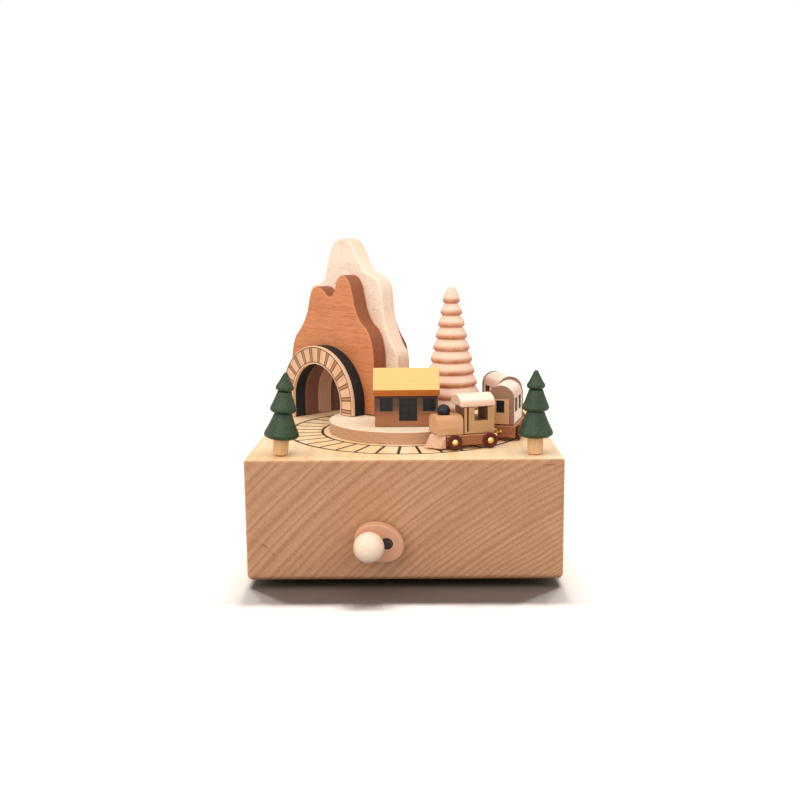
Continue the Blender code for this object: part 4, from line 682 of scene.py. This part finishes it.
def metal(name, colour, other, roughness):
    """A drawn or turned metal, faintly scratched and tarnished."""
    finish = Finish(name, roughness, metallic=1.0, shine=0.5)
    spot = finish.spot()
    tarnish = finish.ramp(finish.noise(spot, 0.6, 3.0), (0.35, 0.0), (0.7, 1.0))
    scratch = finish.noise(spot, 6.0, stretch=(0.15, 1.0, 1.0))
    rough = scratch * 0.25 + (roughness - 0.1)
    return finish.done(finish.mix(tarnish, colour, other), rough, scratch, 0.01, 0.3)


def felt():
    """The feet's pressed felt."""
    finish = Finish("felt", 0.95)
    spot = finish.spot()
    fuzz = finish.noise(spot, 3.5, 5.0, 0.7)
    share = fuzz * 0.6 + finish.noise(spot, 0.5) * 0.4
    return finish.done(finish.mix(share, (0.035, 0.028, 0.022), (0.11, 0.085, 0.065)), None, fuzz, 0.25, 0.8)


def glass():
    """The dark window panes, with a faint uneven gloss."""
    finish = Finish("dark pane")
    cloud = finish.noise(finish.spot(), 0.35)
    colour = finish.mix(cloud, (0.003, 0.005, 0.007), (0.008, 0.013, 0.017))
    return finish.done(colour, cloud * 0.2 + 0.2)


# Light and camera

def set_camera():
    """The camera where the photograph was taken from."""
    yaw, pitch, roll = math.radians(0.874), math.radians(9.001), math.radians(-0.562)
    ahead = Vector((-math.sin(yaw) * math.cos(pitch), math.cos(yaw) * math.cos(pitch), -math.sin(pitch)))
    level = Vector((math.cos(yaw), math.sin(yaw), 0))
    over = level.cross(ahead)
    right = level * math.cos(roll) + over * math.sin(roll)
    up = over * math.cos(roll) - level * math.sin(roll)
    bpy.ops.object.camera_add()
    camera = bpy.context.object
    camera.name = "camera"
    camera.matrix_world = at(4.26, -407.335, 128.28) @ Matrix((right, up, -ahead)).transposed().to_4x4()
    camera.data.sensor_width = 36.0
    camera.data.lens = 44.18
    camera.data.clip_start = 0.02
    bpy.context.scene.camera = camera


def seen_rays(nodes):
    """1 for what the camera sees, also in gloss and through glass, and 0 for light that falls on things."""
    seen = nodes.node("LightPath", output="Is Camera Ray")
    for kind in ("Is Glossy Ray", "Is Transmission Ray"):
        seen = seen.most(nodes.node("LightPath", output=kind))
    return seen


def set_world():
    """A white room: brighter behind the box than before it, and plain white to the eye."""
    world = bpy.data.worlds.new("white room")
    bpy.context.scene.world = world
    world.use_nodes = True
    world.node_tree.nodes.clear()
    nodes = Nodes(world.node_tree)
    depth = nodes.split(nodes.node("TexCoord", output="Generated"))[1]
    lit = nodes.node("Background", {0: (1.0, 0.985, 0.97), 1: nodes.rise(depth, -0.75, 0.35, 0.08, 0.55)})
    seen = nodes.node("Background", {0: (1.0, 1.0, 1.0)})
    out = nodes.tree.nodes.new("ShaderNodeOutputWorld")
    nodes.link(nodes.node("MixShader", {0: seen_rays(nodes), 1: lit, 2: seen}), out.inputs[0])


def set_lamps(floor):
    """Lamps high behind the box for the floor alone, and broad ones before it for all the rest."""
    lamps = [("floor lamp", 1.55, 5, (-20, tilt, 0), "INCLUDE") for tilt in (-20, -10, 0, 10, 20)]
    lamps += [("low floor lamp", 2.2, 16, (-32, 0, 0), "INCLUDE"),
              ("left lamp", 1.45, 70, (50, 0, -60), "EXCLUDE"),
              ("right lamp", 0.95, 70, (50, 0, 62), "EXCLUDE"),
              ("top lamp", 0.75, 50, (14, 0, 0), "EXCLUDE"),
              ("front lamp", 1.7, 80, (82, 0, -4), "EXCLUDE")]
    for name, strength, angle, turn, state in lamps:
        rotation = [math.radians(value) for value in turn]
        bpy.ops.object.light_add(type="SUN", location=(0, 0, 0.6), rotation=rotation)
        lamp = bpy.context.object
        lamp.name = name
        lamp.data.energy = strength
        lamp.data.angle = math.radians(angle)
        lamp.data.color = (1.0, 0.985, 0.965)
        lit = bpy.data.collections.new(name + " falls on")
        lit.objects.link(floor)
        lit.collection_objects[0].light_linking.link_state = state
        lamp.light_linking.receiver_collection = lit


def set_floor():
    """A white floor that runs past the view and keeps the box's shadow."""
    bpy.ops.object.select_all(action="DESELECT")
    bpy.ops.mesh.primitive_plane_add(size=8.0, location=(0, 2.0, 0))
    floor = bpy.context.object
    floor.name = "floor"
    bpy.ops.object.transform_apply(location=True, rotation=True, scale=True)
    finish = Finish("white floor", 0.9, shine=0.0)
    tone = finish.mix(seen_rays(finish), (0.20, 0.195, 0.19), (0.48, 0.44, 0.415))
    floor.data.materials.append(finish.done(tone))
    return floor


set_camera()
set_world()
set_lamps(set_floor())
bpy.context.scene.view_settings.view_transform = "Standard"


# The case, its plate and feet

CASE = case_wood()
PLATE = wood("bottom plate wood", (0.74, 0.46, 0.24), (0.50, 0.26, 0.11), rings=5.0, heart=(10, -300),
             depth=0.5)
FELT = felt()
PEACH = wood("crank plate wood", (0.63, 0.33, 0.20), (0.50, 0.235, 0.13), (CRANK_X, FRONT, CRANK_Z),
             rings=3.0, depth=0.15, streak=0.12, fleck=0.08)
MAPLE = wood("knob maple", (0.87, 0.68, 0.51), (0.74, 0.51, 0.34), (KNOB_X, FRONT, KNOB_Z),
             (0, 0, math.radians(90)), roughness=0.42, rings=1.4, heart=(4, -12), depth=0.4, streak=0.12,
             fleck=0.05)
DARK_STEEL = metal("blackened steel", (0.03, 0.028, 0.028), (0.06, 0.05, 0.045), 0.45)
STEEL = metal("bright steel", (0.60, 0.60, 0.62), (0.48, 0.47, 0.47), 0.32)
BRASS = metal("polished brass", (0.82, 0.56, 0.20), (0.66, 0.42, 0.13), 0.25)
NICKEL = metal("nickel plate", (0.62, 0.61, 0.60), (0.50, 0.49, 0.48), 0.22)


def make_case():
    """The case: a block milled out from below, bored for the crank and the spindle."""
    case = square("case_body", CASE_HALF, CASE_FOOT, DECK)
    ease(case, 2.2, 7, lambda a, b: min(a.z, b.z) < CASE_FOOT + 1)
    ease(case, 1.1, 5, lambda a, b: min(a.z, b.z) > DECK - 1)
    inner = CASE_HALF - CASE_WALL
    below = CASE_FOOT - 14
    hollow = square("hollow", inner, below, DECK - DECK_THICKNESS)
    ease(hollow, HOLLOW_CORNER, 10, lambda a, b: abs(a.z - b.z) > 1)
    ledge = inner + 4
    rebate = square("rebate", ledge, below, CASE_FOOT + PLATE_THICKNESS + GAP)
    bore = turned("bore", stepped(20, (3.15, -10)), along((CRANK_X, FRONT, CRANK_Z), (0, 1, 0)), 48)
    blind = turned("blind_hole", stepped(1.6, (1.9, -1)), at(0, CASE_Y, DECK - DECK_THICKNESS), 32)
    cut(case, hollow, rebate, bore, blind)
    fit(case, "base", CASE, "case_wood", "case")

    plate = square("bottom_board", ledge - GAP, CASE_FOOT, CASE_FOOT + PLATE_THICKNESS, 0.3)
    for _, x, y in BED_SCREWS:
        cut(plate, turned("screw_bore", stepped(10, (1.4, 4.8), (2.7, 0)), at(x, CASE_Y + y, 0), 32))
    fit(plate, "base", PLATE, "plate_wood", "bottom_plate")
    for y_mark, side_y in (("front", -1), ("rear", 1)):
        for x_mark, side_x in (("left", -1), ("right", 1)):
            foot = turned(f"{y_mark}_{x_mark}_pad", [(0, 2.5), (5.3, 2.5), (5.5, 2.3)]
                          + arc((4.9, 0.6), 0.6, 0, -90, 5) + [(0, 0)],
                          at(side_x * FOOT_X, CASE_Y + side_y * FOOT_Y, 0), 48)
            fit(foot, "base", FELT, "felt", f"{y_mark}_{x_mark}_foot")


def make_bed_screws():
    """The sunk screws that hold the bed plate, each with a cross cut in its head."""
    low = CASE_FOOT + GAP
    profile = stepped(low + 5.4, (1.1, low + 1.4))[:-1] + [(2.4, low + 1.4)]
    profile += arc((1.9, low + 0.5), 0.5, 0, -90, 4) + [(0, low)]
    for mark, x, y in BED_SCREWS:
        place = at(x, CASE_Y + y, 0)
        screw = turned(f"bed_screw_{mark}_body", profile, place, 40)
        cut_cross(screw, place, 1.4, 0.35, low - 1, low + 0.7)
        fit(screw, "base", STEEL, "steel", f"bed_screw_{mark}")


make_case()
make_bed_screws()


# The crank

def make_crank():
    """The oval plate with its sunk screw, the knob's pin and the knob."""
    tilt = math.radians(-20)
    oval = []
    for index in range(72):
        angle = 2 * math.pi * index / 72
        across, up = 9.45 * math.cos(angle), 7.15 * math.sin(angle)
        oval.append((-2.85 + across * math.cos(tilt) - up * math.sin(tilt),
                     across * math.sin(tilt) + up * math.cos(tilt)))
    place = upright((1, 0, 0), (0, -1, 0), (CRANK_X, CRANK_FACE + 2.5, CRANK_Z))
    plate = sawn("oval_plate", oval, 5, place, 0.7, 4)
    face = along((CRANK_X, CRANK_FACE, CRANK_Z), (0, 1, 0))
    cut(plate, turned("screw_seat", stepped(8, (1.8, 3.2), (1.3, 1.5), (2.3, -1)), face, 48))
    pin_at = along((KNOB_X, CRANK_FACE, KNOB_Z), (0, 1, 0))
    cut(plate, turned("pin_seat", stepped(3.5, (1.8, -1)), pin_at, 40))
    fit(plate, "crank", PEACH, "peach_wood", "crank_plate")

    head = stepped(2.2, (1.0, 1.2), (2.2, 0.75))[:-1] + [(2.0, 0.45), (1.4, 0.34), (0, 0.3)]
    screw = turned("plate_screw", head, face, 48)
    cut_cross(screw, face, 1.3, 0.3, 0, 0.75)
    fit(screw, "crank", DARK_STEEL, "steel", "crank_screw")

    pin = turned("pin", [(0, 7.1), (1.2, 7.1), (1.5, 6.8), (1.5, -3.0), (1.3, -3.2), (0, -3.2)],
                 along((KNOB_X, CRANK_FACE, KNOB_Z), (0, -1, 0)), 40)
    fit(pin, "crank", STEEL, "steel", "knob_pin")
    radius, back = 5.65, 5.2
    profile = arc((0, 0), radius, 90, 4 - math.degrees(math.asin(back / radius)), 26)
    profile[0] = (0, radius)
    rim = math.sqrt(radius ** 2 - back ** 2)
    profile += [(rim - 0.25, -back), (1.8, -back), (1.8, 1.9), (0, 1.9)]
    knob = turned("knob_ball", profile, along((KNOB_X, CRANK_FACE - GAP - back, KNOB_Z), (0, -1, 0)), 64)
    fit(knob, "knob", MAPLE, "white_wood", "crank_knob")


make_crank()


# Platform, house and turned tree

DECK_MIDDLE = (0, CASE_Y, DECK)
# The edges tints here are painted shade on sides that aren't level, with some darker end grain
PLATFORM = wood("platform wood", (0.95, 0.80, 0.60), (0.78, 0.56, 0.37), DECK_MIDDLE, rings=2.6,
                edges=(0.58, 0.40, 0.32), heart=(10, -40), depth=0.35)
WALL = house_wall()
EBONY = wood("dark frames", (0.014, 0.011, 0.010), (0.006, 0.005, 0.005), DECK_MIDDLE, rings=1.5, depth=0.3)
GLASS = glass()
YELLOW = wood("yellow roof wood", (0.93, 0.58, 0.22), (0.82, 0.42, 0.12), DECK_MIDDLE, rings=1.7,
              edges=(0.54, 0.27, 0.12), heart=(-40, -12), depth=0.4, fleck=0.1)
TREE = tree_wood()


def make_platform():
    """The round platform inside the track."""
    radius, low, top = PLATFORM_RADIUS, DECK + GAP, PLATFORM_TOP
    profile = [(0, top), (radius - 0.5, top)] + arc((radius - 0.4, top - 0.4), 0.4, 90, 0, 4)[1:]
    profile += [(radius, low + 0.15), (radius - 0.15, low), (0, low)]
    platform = turned("round_platform", profile, at(0, CASE_Y, 0), 160)
    fit(platform, "base", PLATFORM, "pale_wood", "platform")


def make_house():
    """The house: walls, a folded roof, and window and door frames in their recesses."""
    middle_x, front = 0.8, CASE_Y - 20.7
    depth, width = 11.4, 25.8
    foot = PLATFORM_TOP + GAP
    half = depth / 2
    run, rise = half + 1.7, 8.2
    eave = PLATFORM_TOP + 15.5
    under_ridge = eave + rise - 2.9
    under_wall = under_ridge - rise / run * half
    place = end_on(at(middle_x, front + half, 0))
    gable = [(half, foot), (half, under_wall), (0, under_ridge), (-half, under_wall), (-half, foot)]
    walls = sawn("walls", gable, width, place, 0.25)
    top = PLATFORM_TOP + 11.9
    bar_width = 0.55
    bars, panes = [], []

    def opening(name, left, right, low, high, near, deep, edge):
        return block(name, (left, front + near, low), (right, front + deep, high), edge=edge)

    for x, wide, high, rails in ((-8.2, 5.2, 5.4, (0.5,)), (9.35, 5.2, 5.4, (0.5,)),
                                 (0.7, 7.4, 9.4, (1 / 3, 2 / 3))):
        left, right = middle_x + x - wide / 2, middle_x + x + wide / 2
        low = top - high
        cut(walls, opening("recess", left, right, low, top, -1, 0.8, 0))
        panes.append(opening("pane", left, right, low, top, 0.5, 0.78, 0.04))
        for a, b, c, d in ((left, left + bar_width, low, top), (right - bar_width, right, low, top),
                           (left, right, low, low + bar_width), (left, right, top - bar_width, top)):
            bars.append(opening("bar", a, b, c, d, -0.05, 0.75, 0.08))
        middle = (left + right) / 2
        stile = 0.26 if high < 6 else 0.42
        bars.append(opening("bar", middle - stile, middle + stile, low, top, 0.1, 0.75, 0.08))
        for rail in rails:
            level = low + high * rail
            bars.append(opening("bar", left, right, level - 0.22, level + 0.22, 0.15, 0.75, 0.08))
    fit(walls, "base", WALL, "red_wood", "house_walls")
    fit(joined("window_frames", *bars), "base", EBONY, "black_stain")
    fit(joined("window_panes", *panes), "base", GLASS, "navy_stain")
    ridge, lip = eave + rise, run - 0.9
    fold = [(0, ridge), (-run, eave), (-lip, eave - 2.6), (0, ridge - 2.6), (lip, eave - 2.6), (run, eave)]
    roof = sawn("folded_roof", fold, 27.2, place, 0.22)
    fit(roof, "base", YELLOW, "pale_wood", "house_roof", degrees=25)


def make_turned_tree():
    """The tall tree, turned in ten swelling tiers."""
    foot, top = PLATFORM_TOP + GAP, PLATFORM_TOP + 56
    profile = [(0, top), (0.75, top - 0.06), (1.3, top - 0.3), (1.7, top - 0.8)]
    start, level = profile[-1]
    for tier in range(TREE_TIERS):
        end, low = 3.7 + 1.06 * tier, top - 7.1 - TIER_HEIGHT * tier
        height, grow = level - low, end - start
        line = flowing([(start, level), (start + grow * 0.42, level - height * 0.22),
                        (start + grow * 0.84, level - height * 0.55), (end, level - height * 0.80),
                        (end - 0.12, level - height * 0.92), (end - 0.55, low)], {1, 2, 3, 4}, 4)
        profile += line[1:] if tier == 0 else line
        start, level = end - 1.0, low - 0.12
    profile += [(3.6, level), (3.6, foot + 0.2), (3.4, foot), (0, foot)]
    tree = turned("tall_tree", profile, at(*TREE_SPOT, 0), 72)
    fit(tree, "base", TREE, "pale_wood", "turned_tree", degrees=50)


make_platform()
make_house()
make_turned_tree()


# The mountain

FACING = stone_facing()
BLACK = stain("black stain", (0.007, 0.007, 0.008), (0.016, 0.016, 0.018), 0.6)
# Each board: light and dark grain, the edges tint (darker edge grain with painted shade), the tunnel's
# painted shade, then the pattern
BROWN = board("brown board", (0.69, 0.26, 0.11), (0.42, 0.125, 0.045), (0.46, 0.40, 0.42),
              (0.20, 0.088, 0.065), rings=1.1, heart=(-90, 14), depth=0.16, streak=0.6, fleck=0.35)
PALE = board("pale board", (0.97, 0.79, 0.63), (0.70, 0.45, 0.30), (0.97, 0.94, 0.92), (0.50, 0.27, 0.15),
             rings=2.6, heart=(70, 60), depth=0.16, streak=0.24, fleck=0.75)
DUSK = board("dark board", (0.33, 0.125, 0.075), (0.20, 0.065, 0.04), (0.8, 0.75, 0.75), (0.13, 0.05, 0.035),
             rings=3.0, heart=(-50, 30), depth=0.5, streak=0.3, fleck=0.3)

# Ridges: inwards from the tunnel's middle, and up from the deck
FRONT_RIDGE = ((30.1, 31), (28.9, 37.2), (26.4, 42), (21.9, 45.8), (18.8, 51), (16.9, 57.5), (14.6, 63.2),
               (10.4, 65.7), (6.5, 63.3), (4.8, 58.8), (1.2, 56.1), (-2.2, 58.3), (-5.2, 60), (-9.8, 59.8),
               (-12.6, 55.4), (-15.2, 48), (-19.6, 41.4), (-23.8, 37), (-26.2, 31), (-27.7, 20))
MIDDLE_RIDGE = ((36.6, 27), (36.4, 32), (33.8, 35.3), (30.6, 41.2), (28.4, 48), (27.4, 55), (25.9, 62),
                (22.1, 65), (16.6, 67.2), (12.6, 71.2), (9.8, 76.4), (5.8, 80.6), (1.8, 81.7), (-3.2, 80.2),
                (-7, 76), (-9.5, 69.4), (-12, 63), (-15.6, 61.5), (-20, 60.8), (-22.8, 55), (-24.7, 42),
                (-25.2, 28))
REAR_RIDGE = ((28.8, 27), (28.1, 31.2), (26.8, 35.2), (23.4, 39.6), (20.9, 44.5), (18.2, 52), (13.2, 58.6),
              (7.8, 61.6), (1.8, 60.4), (-3.8, 55.6), (-9.2, 52.6), (-14.2, 50.4), (-18.2, 44), (-20.5, 34),
              (-21.5, 22))


def make_mountain():
    """The stone facing, the black arch and the three ridge boards, side by side across the track."""
    place = at(*DECK_MIDDLE) @ Matrix.Rotation(-MOUNTAIN_TURN, 4, "Z")
    inner_foot = 5.3
    front = MOUNTAIN_FRONT
    tunnel = [(-TRACK - TUNNEL, GAP)] + arc((-TRACK, SPRING), TUNNEL, 180, 0, 44)
    tunnel.append((-TRACK + TUNNEL, inner_foot))
    arch = [(-TRACK + ARCH, inner_foot)] + arc((-TRACK, SPRING), ARCH, 0, 180, 60) + [(-TRACK - ARCH, GAP)]
    boards = [("facing", arch, 1.7, 0.22, FACING, "peach_wood", "arch_facing"),
              ("black_arch", arch, 5.4, 0.5, BLACK, "black_stain", "arch_block")]
    for name, ridge, outer_foot, finish, slot, node in (
            ("brown_ridge", FRONT_RIDGE, -28.2, BROWN, "red_wood", "mountain_front"),
            ("pale_ridge", MIDDLE_RIDGE, -25.2, PALE, "pale_wood", "mountain_middle"),
            ("dark_ridge", REAR_RIDGE, -21.7, DUSK, "dark_wood", "mountain_rear")):
        points = [(ridge[0][0] - TRACK, inner_foot)] + [(across - TRACK, up) for across, up in ridge]
        points.append((outer_foot - TRACK, GAP))
        boards.append((name, flowing(points, set(range(2, len(ridge))), 6), 7.7, 0.95, finish, slot, node))
    for name, outline, thickness, edge, finish, slot, node in boards:
        lay = place @ upright((1, 0, 0), (0, -1, 0), (0, front + thickness / 2, 0))
        fit(sawn(name, outline + tunnel, thickness, lay, edge, 4), "base", finish, slot, node)
        front += thickness + GAP


make_mountain()


# The small trees

GREEN = stain("green stain", (0.012, 0.031, 0.010), (0.035, 0.063, 0.025), 0.30, scale=2.6)
TRUNK = wood("trunk wood", (0.74, 0.46, 0.23), (0.56, 0.29, 0.12), DECK_MIDDLE, (0, math.radians(90), 0),
             rings=1.6, depth=0.4, heart=(3, 10))


def make_small_trees():
    """Two green trees on bare trunks; the left one leans."""
    for mark, x, lean in (("left", -47.1, math.radians(5.5)), ("right", 49.7, 0.0)):
        place = at(x, CASE_Y - 51.3, DECK) @ Matrix.Rotation(lean, 4, "Y")
        profile = [(0, 32.0), (0.5, 31.9)]
        top = 31.4
        for under, widest, neck in ((24.8, 3.5, 0.9), (16.6, 5.1, 2.7), (6.9, 6.7, 3.3)):
            lip = under + 1.6
            spread, drop = widest - neck, top - lip
            profile += flowing([(neck, top), (neck + spread * 0.30, top - drop * 0.32),
                                (neck + spread * 0.66, top - drop * 0.68), (widest - 0.12, lip + 0.3),
                                (widest, lip - 0.35), (widest - 0.3, under + 0.6), (widest - 1.2, under)],
                               {1, 2, 3, 4, 5}, 5)
            top = under - 0.2
        high = top - 0.3
        crown = turned(f"{mark}_crown", profile + [(3.05, top), (3.05, high), (0, high)], place, 64)
        fit(crown, "base", GREEN, "green_stain", mark + "_tree", degrees=50)
        foot = GAP + 3.0 * math.sin(lean)
        profile = [(0, high), (2.95, high), (2.95, foot + 0.25), (2.7, foot), (0, foot)]
        trunk = turned(f"{mark}_trunk", profile, place, 48)
        fit(trunk, "base", TRUNK, "green_stain", mark + "_tree")


make_small_trees()


# The train

WHEEL = stain("wheel stain", (0.060, 0.006, 0.003), (0.115, 0.015, 0.008), 0.5)
NAVY = stain("navy stain", (0.003, 0.007, 0.010), (0.006, 0.013, 0.018), 0.22, relief=0.01)

# The vehicles' woods: light and dark tone, then the pattern
TIMBER = {
    # In the patterns, edges is painted shade on sides that aren't level, with some darker end grain, and room
    # is painted shade inside window openings
    "chassis": ((0.60, 0.27, 0.14), (0.42, 0.165, 0.075),
                {"rings": 1.3, "edges": (0.60, 0.48, 0.38), "heart": (3, -9), "depth": 0.4, "fleck": 0.2}),
    "peach": ((0.86, 0.62, 0.46), (0.70, 0.44, 0.30),
              {"rings": 1.4, "edges": (0.82, 0.68, 0.58), "heart": (-5, -12), "depth": 0.35, "streak": 0.2}),
    "tan": ((0.66, 0.36, 0.185), (0.48, 0.225, 0.10), {"rings": 1.5, "heart": (-9, 3), "depth": 0.35}),
    "cream": ((0.92, 0.80, 0.64), (0.78, 0.60, 0.44),
              {"rings": 1.6, "edges": (0.86, 0.66, 0.60), "heart": (2, -4), "depth": 0.35, "fleck": 0.2}),
    "wall": ((0.93, 0.78, 0.63), (0.78, 0.58, 0.42),
             {"rings": 1.6, "heart": (8, -9), "depth": 0.3, "room": (4.1, 5.15, 11.1)}),
    "brown end": ((0.34, 0.185, 0.115), (0.20, 0.095, 0.055),
                  {"rings": 1.1, "heart": (0, -14), "depth": 0.5, "streak": 0.3}),
    "side": ((0.54, 0.30, 0.135), (0.40, 0.20, 0.085),
             {"rings": 1.5, "heart": (-12, 8), "depth": 0.3, "room": (4.2, 5.15, 6.6)})}


def timber(vehicle, kind):
    """One of a vehicle's woods, its grain along it."""
    (x, y), heading = STANDS[vehicle]
    light, dark, pattern = TIMBER[kind]
    return wood(f"{vehicle} {kind} wood", light, dark, (x, CASE_Y + y, DECK), (0, 0, -heading), **pattern)


def vehicle_place(vehicle):
    """A vehicle's own frame: X forward, Z up from the deck."""
    (x, y), heading = STANDS[vehicle]
    return at(x, CASE_Y + y, DECK) @ Matrix.Rotation(heading, 4, "Z")


def make_wheels(name, place, x):
    """Two wheels on their axle, each with a domed brass nail."""
    axis = place @ at(x, 0, AXLE_HEIGHT) @ Matrix.Rotation(math.radians(-90), 4, "X")
    half = [(0, 7.6), (1.25, 7.6), (1.35, 7.5), (2.1, 7.5), (2.3, 7.62), (2.75, 7.6), (2.95, 7.42),
            (3.0, 7.2), (3.0, 6.75), (2.9, 6.5), (2.7, 6.4), (0.8, 6.4)]
    profile = half + [(radius, -height) for radius, height in reversed(half)]
    fit(turned(name + "_pair", profile, axis, 48), name, WHEEL, "wheel_red", name, degrees=50)
    dome = [(0, 8.08), (0.35, 8.05), (0.7, 7.95), (0.98, 7.8), (1.1, 7.66), (1.2, 7.64), (1.22, 7.58),
            (0, 7.58)]
    for mark, flip in (("left", 0), ("right", math.pi)):
        nail = turned(f"{name}_{mark}_nail", dome, axis @ Matrix.Rotation(flip, 4, "X"), 32)
        fit(nail, name, BRASS, "brass")


def make_eye(name, start, middle, flat):
    """A screw eye: a brass wire that leaves its vehicle and closes in a ring."""
    out = (middle - start).normalized()
    up = Vector((0, 0, 1))
    aside = out.cross(up) if flat else up
    ring, wire = 1.5, 0.40
    normal = out.cross(aside)
    bpy.ops.object.select_all(action="DESELECT")
    bpy.ops.mesh.primitive_circle_add(vertices=14, radius=wire * MM, fill_type="NGON")
    eye = bpy.context.object
    eye.name = name
    first = middle - out * ring
    put(eye, at(*first) @ Matrix((normal, out, aside)).transposed().to_4x4())
    bpy.ops.object.mode_set(mode="EDIT")
    bpy.ops.mesh.select_all(action="SELECT")
    bpy.ops.mesh.spin(steps=40, angle=math.radians(330), center=middle * MM, axis=normal)
    bpy.ops.object.mode_set(mode="OBJECT")
    root = along(start, out)
    shank = block("shank", (-0.34, -0.34, 0), (0.34, 0.34, (first - start).length), root, 0.13)
    collar = turned("collar", [(0, 0.35), (0.75, 0.35), (0.85, 0.2), (0.85, 0), (0, 0)], root, 24)
    return joined(name, eye, shank, collar)


def make_loco():
    """The locomotive: chassis, catcher, boiler, ball chimney, cab and barrel roof."""
    place = vehicle_place("loco")
    chassis = block("loco_frame", (LOCO_REAR, -CHASSIS_HALF, 1.6), (10.2, CHASSIS_HALF, 5.6), place, 0.3)
    fit(chassis, "loco", timber("loco", "chassis"), "red_wood", "loco_chassis")
    plan = [(10.5, -5.8), (13.0, -5.8), (17.4, 0.0), (13.0, 5.8), (10.5, 5.8)]
    catcher = sawn("catcher", plan, 4.8, Matrix.Identity(4), 0)
    pick(catcher, "VERT", lambda co: co.z > 0 and co.x > 12)
    bpy.ops.transform.translate(value=(-2.2 * MM, 0, 0))
    bpy.ops.mesh.select_all(action="SELECT")
    bpy.ops.mesh.bevel(offset=0.22 * MM, segments=3, affect="EDGES")
    put(catcher, place @ at(0, 0, 3.2))
    fit(catcher, "loco", timber("loco", "peach"), "peach_wood", "cow_catcher", degrees=25)

    shoulder, top, floor = 2.9, 13.3, 5.9
    inner = BODY_HALF - shoulder
    section = [(BODY_HALF, floor)] + arc((inner, top - shoulder), shoulder, 0, 90, 12)
    section += arc((-inner, top - shoulder), shoulder, 90, 180, 12) + [(-BODY_HALF, floor)]
    boiler = sawn("boiler_block", section, 10.8, end_on(place, 8.4), 0.45)
    ball_place = place @ at(9.4, 0, 14.7)
    cut(boiler, turned("seat", arc((0, 0), 2.9, 90, -90, 20), ball_place, 40))
    fit(boiler, "loco", timber("loco", "tan"), "plate_wood", "boiler")
    ball = [(0, 2.6)] + arc((0, 0), 2.6, 84, -84, 28) + [(0, -2.6)]
    fit(turned("ball_chimney", ball, ball_place, 56), "loco", NAVY, "navy_stain", "chimney", degrees=60)

    cab = block("cab_block", (-9.8, -BODY_HALF, floor), (2.7, BODY_HALF, 16.3), place, 0.22)
    cut(cab, block("cab_window", (-7.0, -9, 10.9), (-1.4, 9, 18), place))
    for low, high in ((3.4, 9), (-9, -3.4)):
        cut(cab, block("groove", (0.9, low, floor + 0.8), (1.7, high, 18), place))
    fit(cab, "loco", timber("loco", "side"), "plate_wood", "cab")

    base = 16.6
    half, rise = 5.7, 4.0
    section = [(half, base)] + arc((0, base + 0.5), half, 0, 180, 36, rise / half) + [(-half, base)]
    roof = sawn("barrel_roof", section, 14.4, end_on(place, -2.8), 0.5, 4)
    fit(roof, "loco", timber("loco", "cream"), "white_wood", "loco_roof")
    make_wheels("loco_front_wheels", place, 7.35)
    make_wheels("loco_rear_wheels", place, -7.35)


def make_wagon(name):
    """A wagon: chassis, body with window openings, arched ends with doors, and a barrel roof."""
    place = vehicle_place(name)
    chassis = block(name + "_frame", (-WAGON_END, -CHASSIS_HALF, 1.6), (WAGON_END, CHASSIS_HALF, 6.4), place,
                    0.3)
    fit(chassis, name, timber(name, "chassis"), "red_wood", name + "_chassis")
    body = block(name + "_walls", (-9.2, -BODY_HALF, 6.7), (9.2, BODY_HALF, 16.7), place, 0.2)
    for sign in (1, -1):
        cut(body, across_block("window", sign, 1.1, 7.1, 9, 11.2, 18, place))
    fit(body, name, timber(name, "wall"), "plate_wood", name + "_body")
    spring = 17.0
    roof = sawn(name + "_barrel_roof", arc((0, spring), BODY_HALF, 0, 180, 36), 18.4, end_on(place), 0.2)
    fit(roof, name, timber(name, "cream"), "white_wood", name + "_roof")
    outline = [(5.5, 6.7)] + arc((0, spring), 5.5, 0, 180, 40) + [(-5.5, 6.7)]
    umber, tan = timber(name, "brown end"), timber(name, "tan")
    for mark, sign in (("front", 1), ("rear", -1)):
        side = f"{name}_{mark}"
        end = sawn(side + "_board", outline, 1.2, end_on(place, sign * 10.1), 0.2)
        fit(end, name, umber, "dark_wood", side + "_end")
        door = across_block(side + "_door", sign, 10.72, 11.3, 3.6, 7.0, 17.2, place, 0.12)
        cut(door, across_block("door_window", sign, 10.0, 12.0, 1.65, 11.6, 16.6, place))
        fit(door, name, tan, "plate_wood")
        pane = across_block(side + "_pane", sign, 10.72, 10.9, 1.65, 11.6, 16.6, place, 0.03)
        fit(pane, name, GLASS, "navy_stain")
    make_wheels(name + "_front_wheels", place, 7.0)
    make_wheels(name + "_rear_wheels", place, -7.0)


def make_coupling(front, front_end, rear):
    """Two linked eyes: a flat one on the vehicle in front, an upright one on the vehicle behind it."""
    ahead, behind = (vehicle_place(vehicle) @ (Vector((x, 0, EYE_HEIGHT)) * MM) / MM
                     for vehicle, x in ((front, front_end), (rear, WAGON_END)))
    line = (behind - ahead).normalized()
    reach = ((behind - ahead).length - 1.2) / 2
    hook = make_eye(front + "_hook", ahead, ahead + line * reach, True)
    fit(hook, front, BRASS, "brass", front + "_rear_eye", degrees=50)
    ring = make_eye(rear + "_ring", behind, behind - line * reach, False)
    fit(ring, rear, BRASS, "brass", rear + "_front_eye", degrees=50)


make_loco()
make_wagon("wagon_1")
make_wagon("wagon_2")
make_coupling("loco", LOCO_REAR, "wagon_1")
make_coupling("wagon_1", -WAGON_END, "wagon_2")


# The movement inside the case

for finish, nodes in ((BRASS, ("bed_plate", "arbor_bracket", "cylinder")),
                      (STEEL, ("comb", "comb_screw_left", "comb_screw_right", "worm_shaft", "spindle")),
                      (PLATE, ("magnet_arm",)), (NICKEL, ("arm_magnet", "loco_magnet"))):
    for node in nodes:
        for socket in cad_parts[node].material_slots:
            socket.material = finish

if bpy.context.object and bpy.context.object.mode == "EDIT":
    bpy.ops.object.mode_set(mode="OBJECT")
